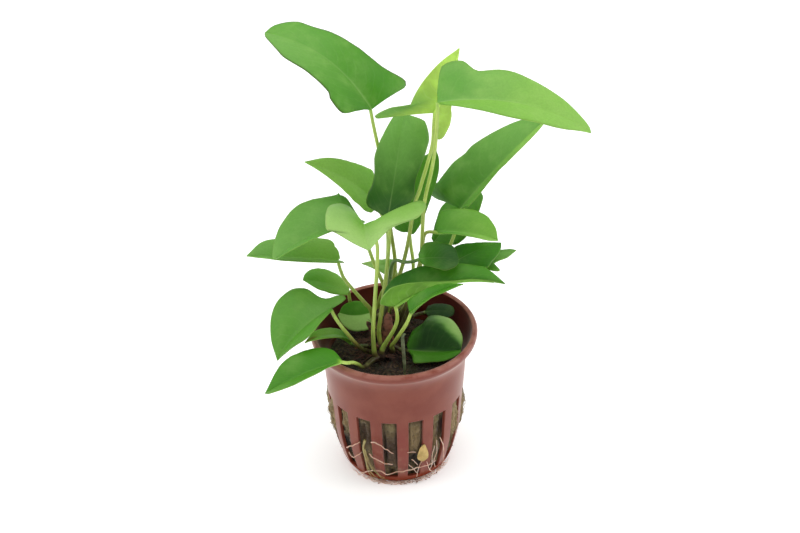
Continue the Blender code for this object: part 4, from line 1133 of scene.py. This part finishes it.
def make_pot(material):
    """Pot with its slots left open in the wall, every edge rounded."""
    rings, outside, inside = pot_rings()
    columns = SLOT_COUNT * COLUMNS_PER_PITCH
    pitch = 360.0 / SLOT_COUNT
    slot_step = 2 * SLOT_HALF_ANGLE / SLOT_COLUMNS
    rib_step = (pitch - 2 * SLOT_HALF_ANGLE) / (COLUMNS_PER_PITCH - SLOT_COLUMNS)
    angles = []
    for index in range(columns):
        slot, place_in_pitch = divmod(index, COLUMNS_PER_PITCH)
        angle = slot_angle(slot) - SLOT_HALF_ANGLE + min(place_in_pitch, SLOT_COLUMNS) * slot_step
        angles.append(angle + max(0, place_in_pitch - SLOT_COLUMNS) * rib_step)
    bm = bmesh.new()
    grid = [[add_vert(bm, angle, radius, height) for angle in angles] for radius, height in rings]
    open_rows = {*outside[:-1], *inside[1:]}
    for row in range(len(rings) - 1):
        for column in range(columns):
            if row in open_rows and column % COLUMNS_PER_PITCH < SLOT_COLUMNS:
                continue
            after = (column + 1) % columns
            bm.faces.new((grid[row][column], grid[row][after], grid[row + 1][after], grid[row + 1][column]))
    for slot in range(SLOT_COUNT):
        left = slot * COLUMNS_PER_PITCH
        for out_low, out_high, in_low, in_high in zip(outside, outside[1:], inside, inside[1:]):
            for column in (left, left + SLOT_COLUMNS):
                bm.faces.new([grid[row][column] for row in (out_low, out_high, in_high, in_low)])
        for column in range(left, left + SLOT_COLUMNS):
            for out_row, in_row in ((outside[0], inside[0]), (outside[-1], inside[-1])):
                bm.faces.new((grid[out_row][column], grid[out_row][column + 1], grid[in_row][column + 1],
                              grid[in_row][column]))
    bm.faces.new(reversed(grid[0]))
    bm.faces.new(grid[-1])
    bmesh.ops.recalc_face_normals(bm, faces=bm.faces)
    pot = add_piece("net_pot", bm, material, "pot", smooth_angle=35)
    bevel = pot.modifiers.new("Rounded edges", "BEVEL")
    bevel.width = EDGE_ROUNDING * MM
    bevel.segments = 2
    bevel.limit_method = "ANGLE"
    bevel.angle_limit = math.radians(50)
    bevel.harden_normals = True


# Wool

def pad_depth(angle, height):
    """How far a slot's opening holds the wool out towards the wall, 0 to 1, and the slot's number."""
    pitch = 360.0 / SLOT_COUNT
    index = round((angle - SLOT_FIRST) / pitch)
    offset = abs(angle - slot_angle(index))
    sideways = smoothstep(PAD_HALF_ANGLE, PAD_HALF_ANGLE - PAD_SIDE, offset)
    upright = smoothstep(SLOT_BOTTOM + PAD_FOOT[0], SLOT_BOTTOM + PAD_FOOT[1], height)
    upright *= smoothstep(SLOT_TOP - PAD_HEAD[0], SLOT_TOP - PAD_HEAD[1], height)
    return sideways * upright, index % SLOT_COUNT


def wool_radius(angle, height):
    """Radius of the wool's side, with its pads in the slots, its hollows and its roughness."""
    inner = wall_radius(height) - WALL_THICKNESS - WOOL_CLEARANCE
    depth, index = pad_depth(angle, height)
    middle = smoothstep(*BULGE_START, height) * smoothstep(SLOT_TOP, SLOT_TOP - BULGE_END, height)
    spot = polar(angle, 20.0, height)
    rough = noise.fractal(spot * 0.35, 0.6, 2.1, 4) * 0.55 + noise.fractal(spot * 1.3, 0.7, 2.1, 3) * 0.22
    outer = wall_radius(height) - PAD_RECESS + PAD_BULGES.get(index, 0.0) * middle + rough
    signed = (angle + 180) % 360 - 180
    hollow = 0.0
    for at_angle, at_height, half_angle, half_height, deep in WOOL_HOLLOWS:
        away = math.hypot((signed - at_angle) / half_angle, (height - at_height) / half_height)
        hollow = max(hollow, deep * smoothstep(1.1, 0.6, away))
    return inner + (max(outer, inner) - inner) * depth - hollow


def wool_height(radius, angle):
    spot = polar(angle, radius, 0.0)
    rough = noise.fractal(spot * 0.22, 0.6, 2.1, 4) * 0.9 + noise.fractal(spot * 1.1, 0.8, 2.1, 4) * 0.35
    edge = smoothstep(*WOOL_CROWN_RADII, radius)
    return WOOL_TOP - WOOL_BRIM_DROP + edge * (WOOL_CROWN + rough)


def ground(spot):
    """Height of the wool's top under a point."""
    return wool_height(math.hypot(spot.x, spot.y), math.degrees(math.atan2(spot.x, -spot.y)))


def make_wool(material):
    """Block of wool: rough side that fills the slots, rough mossy top."""
    bm = bmesh.new()
    angles = [360.0 * index / WOOL_COLUMNS for index in range(WOOL_COLUMNS)]
    grid = []
    for step in range(WOOL_ROWS + 1):
        height = WOOL_BOTTOM + (WOOL_TOP - WOOL_SHOULDER - WOOL_BOTTOM) * step / WOOL_ROWS
        grid.append([add_vert(bm, angle, wool_radius(angle, height), height) for angle in angles])
    brim = wall_radius(WOOL_TOP) - WALL_THICKNESS - WOOL_CLEARANCE
    for step in range(1, WOOL_RINGS):
        radius = brim * (1 - step / WOOL_RINGS)
        grid.append([add_vert(bm, angle, radius, wool_height(radius, angle)) for angle in angles])
    for low, high in zip(grid, grid[1:]):
        for column in range(WOOL_COLUMNS):
            after = (column + 1) % WOOL_COLUMNS
            bm.faces.new((low[column], low[after], high[after], high[column]))
    bm.faces.new(reversed(grid[0]))
    bm.faces.new(grid[-1])
    bmesh.ops.recalc_face_normals(bm, faces=bm.faces)
    add_piece("wool_block", bm, material, "wool")


def make_slot_fibres(material):
    """Strands of wool that lie over the pads, and more where they bulge out."""
    draw = random.Random(11)
    bm = bmesh.new()
    for index in range(SLOT_COUNT):
        bulging = index in PAD_BULGES
        for _ in range(FIBRES_PER_BULGE if bulging else FIBRES_PER_SLOT):
            angle = slot_angle(index) + draw.uniform(-FIBRE_START, FIBRE_START)
            height = draw.uniform(*FIBRE_FEET)
            length = draw.uniform(*FIBRE_LENGTHS)
            lean = draw.uniform(-0.7, 0.7)
            puff = draw.uniform(0.1, 0.9) if bulging else 0.3
            points = []
            for step in range(7):
                level = min(height + length * step / 6, SLOT_TOP - 0.8)
                turn = angle + lean * step * 0.9 + draw.uniform(-0.35, 0.35)
                turn = max(slot_angle(index) - FIBRE_SPREAD, min(slot_angle(index) + FIBRE_SPREAD, turn))
                off = 0.05 + puff * math.sin(math.pi * step / 6) * draw.random()
                points.append(tuple(polar(turn, wool_radius(turn, level) + off, level)))
            add_strand(bm, points, draw.uniform(*FIBRE_RADII))
    add_piece("wool_fibres", bm, material, None)


def make_top_litter(material):
    """Small dead roots and moss threads that lie over the top of the wool."""
    draw = random.Random(23)
    bm = bmesh.new()
    for _ in range(LITTER_COUNT):
        radius = LITTER_RADIUS * math.sqrt(draw.random())
        angle = draw.uniform(0, 360)
        heading = draw.uniform(0, math.tau)
        length = draw.uniform(*LITTER_LENGTHS)
        curl = draw.uniform(-0.5, 0.5)
        spot = polar(angle, radius, 0.0)
        points = []
        for step in range(6):
            if math.hypot(spot.x, spot.y) > LITTER_LIMIT:
                break
            rise = 0.05 + draw.random() * 0.5 * math.sin(math.pi * step / 5)
            points.append((spot.x, spot.y, ground(spot) + rise))
            heading += curl * draw.random()
            spot = spot + Vector((math.cos(heading), math.sin(heading), 0.0)) * (length / 5)
        if len(points) > 2:
            add_strand(bm, points, draw.uniform(*LITTER_RADII))
    add_piece("top_litter", bm, material, None)


# Rootstock

def rootstock_path():
    path = even_path([position for position, _ in ROOTSTOCK], ROOTSTOCK_RINGS)
    table = [(position[1], radius) for position, radius in ROOTSTOCK]
    return path, [between(table, point[1]) for point in path]


def make_rootstock(material):
    """Knobbly creeping stem with a ring at each leaf scar."""
    path, radii = rootstock_path()
    bm = bmesh.new()
    add_tube(bm, path, radii, ROOTSTOCK_SIDES)
    for vert in bm.verts:
        y = vert.co.y / MM
        outward = vert.co - Vector((ROOTSTOCK_MIDDLE[0], y, ROOTSTOCK_MIDDLE[1])) * MM
        outward.y = 0.0
        if outward.length < 0.0001:
            continue
        ring = abs((y / SCAR_SPACING) % 1.0 - 0.5) * 2
        push = SCAR_HEIGHT * smoothstep(0.7, 1.0, ring) - SCAR_GROOVE
        push += BARK_HEIGHT * noise.fractal(vert.co * 700, 0.7, 2.1, 4)
        vert.co += outward.normalized() * push * MM
    add_piece("rootstock", bm, material, "rhizome")


def make_rootstock_hairs(material):
    """Fine brown roots that spread from the rootstock into the wool, and threads that stand on it."""
    draw = random.Random(5)
    path, radii = rootstock_path()
    bm = bmesh.new()
    for _ in range(HAIR_COUNT):
        index = draw.randrange(HAIR_MARGIN, len(path) - HAIR_MARGIN)
        x, y, z = path[index]
        side = draw.choice((-1, 1))
        reach = draw.uniform(*HAIR_LENGTHS)
        start = Vector((x + side * radii[index] * 0.8, y, z - 0.4))
        drift = draw.uniform(-0.5, 0.5)
        points = []
        for step in range(6):
            part = step / 5
            spot = start + Vector((side * reach * part, drift * reach * part, 0.0))
            floor = ground(spot)
            hump = 0.5 * draw.random() * math.sin(math.pi * part)
            points.append((spot.x, spot.y, max(floor + 0.05, start.z + (floor - start.z) * part) + hump))
        route = smooth_path(points, 3)
        add_tube(bm, route, tapered(draw.uniform(*HAIR_RADII), len(route)), 6)
    for _ in range(THREAD_COUNT):
        x, y, z = path[draw.randrange(*THREAD_RINGS)]
        turn = draw.uniform(0, math.tau)
        start = Vector((x + THREAD_OUT * math.cos(turn), y, z + THREAD_UP))
        lean = Vector((math.cos(turn) * 0.6, draw.uniform(-0.5, 0.5), 1.0))
        lean *= draw.uniform(*THREAD_LENGTHS)
        bend = Vector((draw.uniform(-1, 1), draw.uniform(-1, 1), 0.0))
        route = smooth_path([tuple(start + lean * part + bend * part ** 2) for part in (0, 0.4, 0.7, 1)], 4)
        add_tube(bm, route, tapered(draw.uniform(*THREAD_RADII), len(route), 0.25), 6)
    add_piece("rootstock_hairs", bm, material, None)


def make_sheaths(material):
    """Old brown leaf sheaths, flat and drawn out to a point, round the feet of the stalks."""
    bm = bmesh.new()
    for foot, head, width, lean in SHEATHS:
        foot, head = Vector(foot), Vector(head)
        bow = Vector(SHEATH_BOW)
        route = smooth_path([tuple(foot.lerp(head, part) + bow * math.sin(math.pi * part))
                             for part in (0, 0.3, 0.6, 0.85, 1)], 6)
        count = len(route) - 1
        radii = []
        for step in range(count + 1):
            part = step / count
            frayed = 1 + 0.25 * noise.noise(Vector((part * 6, foot.x, foot.y)))
            radii.append(width * frayed * (1 - part ** 2.2) ** 0.8 + 0.08)
        turn = math.radians(lean)
        facing = Vector((math.sin(turn), -math.cos(turn), 0.0))
        add_tube(bm, route, radii, SHEATH_SIDES, SHEATH_FLATNESS, facing)
    add_piece("leaf_sheaths", bm, material, None)


def make_stub(material):
    """Stub of an old stalk."""
    path = smooth_path(STUB, 8)
    radii = [value for value, in smooth_path([(radius,) for radius in STUB_RADII], 8)]
    bm = bmesh.new()
    add_tube(bm, path, radii, STUB_SIDES)
    add_piece("old_stalk", bm, material, None, smooth_angle=60)


# Roots

def root_path(points, wobble, seed):
    """Shaky path in millimetres through (angle, height, off the wall) points."""
    path = [tuple(polar(angle, wall_radius(height) + off, height)) for angle, height, off in points]
    shaky = []
    for x, y, z in even_path(path, ROOT_RINGS_PER_POINT * len(points)):
        shake = wobble * noise.noise(Vector((x, y, z)) * 0.5 + Vector((0, 0, seed)))
        shaky.append((x, y, max(z + shake, 0.3)))
    return shaky


def make_roots(material, green):
    """Thick roots that hang out of the slots. The greenish one splits into strands."""
    for number, (radius, points) in enumerate(ROOTS, start=1):
        path = root_path(points, ROOT_WOBBLE, number)
        radii = []
        for step in range(len(path)):
            part = step / (len(path) - 1)
            knot = 0.1 * noise.noise(Vector((part * 9, number, 0)))
            radii.append(ROOT_THINNING * radius * (0.9 - 0.35 * part + knot))
        bm = bmesh.new()
        add_tube(bm, path, radii, ROOT_SIDES)
        if number == GREEN_ROOT:
            for seed, strand in enumerate(GREEN_STRANDS, start=40):
                route = root_path(strand, ROOT_WOBBLE, seed)
                add_tube(bm, route, tapered(GREEN_STRAND_RADIUS, len(route), 0.35), ROOT_SIDES)
        look = green if number == GREEN_ROOT else material
        add_piece(f"hanging_root_{number}", bm, look, f"root_{number}")


def make_fine_roots(material):
    """Hair roots over the lower wall and the fringe of them round the pot's foot."""
    draw = random.Random(3)
    bm = bmesh.new()
    for number, points in enumerate(FINE_ROOTS, start=20):
        path = root_path(points, FINE_ROOT_WOBBLE, number)
        add_tube(bm, path, [FINE_ROOT_RADIUS] * len(path), 6)
    for _ in range(FRINGE_COUNT):
        angle = draw.uniform(*FRINGE_ANGLES)
        span = draw.uniform(*FRINGE_SPANS) * draw.choice((-1, 1))
        off = draw.uniform(*FRINGE_OFFSETS)
        lift = draw.uniform(*FRINGE_HEIGHTS)
        points = []
        for step in range(6):
            part = step / 5
            level = 0.12 + lift * math.sin(math.pi * part) * draw.uniform(0.4, 1.0)
            turn = angle + span * part
            away = max(wall_radius(level) + off + draw.uniform(-0.25, 0.3), FRINGE_START + 0.8 * level)
            points.append(tuple(polar(turn, away, level)))
        add_strand(bm, points, draw.uniform(*FRINGE_RADII))
    add_piece("hair_roots", bm, material, None)


def make_crumbs(material):
    """Crumbs of bark and wool that lie in the fringe at the pot's foot."""
    draw = random.Random(17)
    bm = bmesh.new()
    for _ in range(CRUMB_COUNT):
        angle = draw.gauss(CRUMB_MIDDLE, CRUMB_SPREAD)
        level = draw.uniform(*CRUMB_HEIGHTS)
        spot = polar(angle, wall_radius(level) + draw.uniform(*CRUMB_OFFSETS), level)
        size = draw.uniform(*CRUMB_SIZES)
        long = Vector((draw.uniform(-1, 1), draw.uniform(-1, 1), draw.uniform(-0.2, 0.2)))
        long = long.normalized() * size
        add_tube(bm, [tuple(spot + long * part) for part in (-1, -0.4, 0.3, 1)],
                 [size * 0.2, size * 0.5, size * 0.45, size * 0.1], 6, draw.uniform(0.4, 1.0))
    add_piece("crumbs", bm, material, None)


def make_scrap(material):
    """Dry yellow scrap of leaf caught in a slot at the front, ragged at its edge."""
    bm = bmesh.new()
    angle, height = SCRAP_MIDDLE
    middle = add_vert(bm, angle, wall_radius(height) + SCRAP_BULGE, height + 0.1)
    rim = []
    for index, (angle, height) in enumerate(SCRAP_OUTLINE):
        off = SCRAP_EDGE_LIFT + SCRAP_RUFFLE * (index % 2)
        rim.append(add_vert(bm, angle, wall_radius(height) + off, height))
    for index, vert in enumerate(rim):
        bm.faces.new((middle, vert, rim[(index + 1) % len(rim)]))
    bmesh.ops.recalc_face_normals(bm, faces=bm.faces)
    scrap = add_piece("leaf_scrap", bm, material, None)
    solidify = scrap.modifiers.new("Thickness", "SOLIDIFY")
    solidify.thickness = SCRAP_THICKNESS * MM
    subdivision = scrap.modifiers.new("Soft", "SUBSURF")
    subdivision.levels = 1
    subdivision.render_levels = 1


# Stage

def make_floor():
    bm = bmesh.new()
    bmesh.ops.create_grid(bm, x_segments=1, y_segments=1, size=3.0)
    mesh = bpy.data.meshes.new("floor")
    bm.to_mesh(mesh)
    bm.free()
    floor = bpy.data.objects.new("floor", mesh)
    bpy.context.scene.collection.objects.link(floor)
    mesh.materials.append(floor_material())


def add_light(name, location, target, size, power):
    """Square white softbox, in metres and watts, that looks at a target."""
    light = bpy.data.lights.new(name, "AREA")
    light.size = size
    light.energy = power
    obj = bpy.data.objects.new(name, light)
    bpy.context.scene.collection.objects.link(obj)
    obj.location = location
    obj.rotation_euler = (Vector(target) - Vector(location)).to_track_quat("-Z", "Y").to_euler()


def make_lights():
    """Softboxes, and a white world that is dimmer in front of the object than behind it."""
    world = bpy.data.worlds.new("studio")
    world.use_nodes = True
    tree = world.node_tree
    background = tree.nodes["Background"]
    background.inputs["Color"].default_value = (1.0, 1.0, 1.0, 1.0)
    split = tree.nodes.new("ShaderNodeSeparateXYZ")
    tree.links.new(tree.nodes.new("ShaderNodeTexCoord").outputs["Generated"], split.inputs[0])
    strength = tree.nodes.new("ShaderNodeMapRange")
    for name, value in (("From Min", -1.0), ("From Max", 1.0), ("To Min", WORLD_IN_FRONT),
                        ("To Max", WORLD_BEHIND)):
        strength.inputs[name].default_value = value
    tree.links.new(split.outputs["Y"], strength.inputs["Value"])
    tree.links.new(strength.outputs[0], background.inputs["Strength"])
    bpy.context.scene.world = world
    for softbox in SOFTBOXES:
        add_light(*softbox)


def make_camera():
    """Camera that looks at its aim from the front, from above and slightly rolled."""
    elevation = math.radians(CAMERA_ELEVATION)
    back = Vector((0.0, -math.cos(elevation), math.sin(elevation)))
    right = Vector((1.0, 0.0, 0.0))
    up = back.cross(right)
    turn = Matrix.Rotation(math.radians(CAMERA_ROLL), 3, back)
    right = turn @ right
    up = turn @ up
    data = bpy.data.cameras.new("camera")
    data.lens = CAMERA_LENS
    data.sensor_width = 36.0
    data.clip_start = 0.01
    camera = bpy.data.objects.new("camera", data)
    bpy.context.scene.collection.objects.link(camera)
    spot = (Vector(CAMERA_AIM) + back * CAMERA_DISTANCE) * MM
    rotation = Matrix((right, up, back)).transposed()
    camera.matrix_world = Matrix.Translation(spot) @ rotation.to_4x4()
    bpy.context.scene.camera = camera


def make_plant():
    make_leaves()
    make_rootstock(rootstock_material())
    make_rootstock_hairs(strand_material("rootstock_hair"))
    make_sheaths(strand_material("sheath"))
    make_stub(strand_material("old_stalk"))


def make_pot_and_roots():
    make_pot(pot_material())
    wool = wool_material()
    make_wool(wool)
    make_slot_fibres(wool)
    make_top_litter(strand_material("litter"))
    make_roots(strand_material("root"), strand_material("green_root"))
    make_fine_roots(strand_material("hair_root"))
    make_crumbs(strand_material("crumb"))
    make_scrap(strand_material("scrap"))


def build():
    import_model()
    bpy.context.scene.view_settings.view_transform = "Standard"
    make_camera()
    make_lights()
    make_floor()
    make_pot_and_roots()
    make_plant()


build()
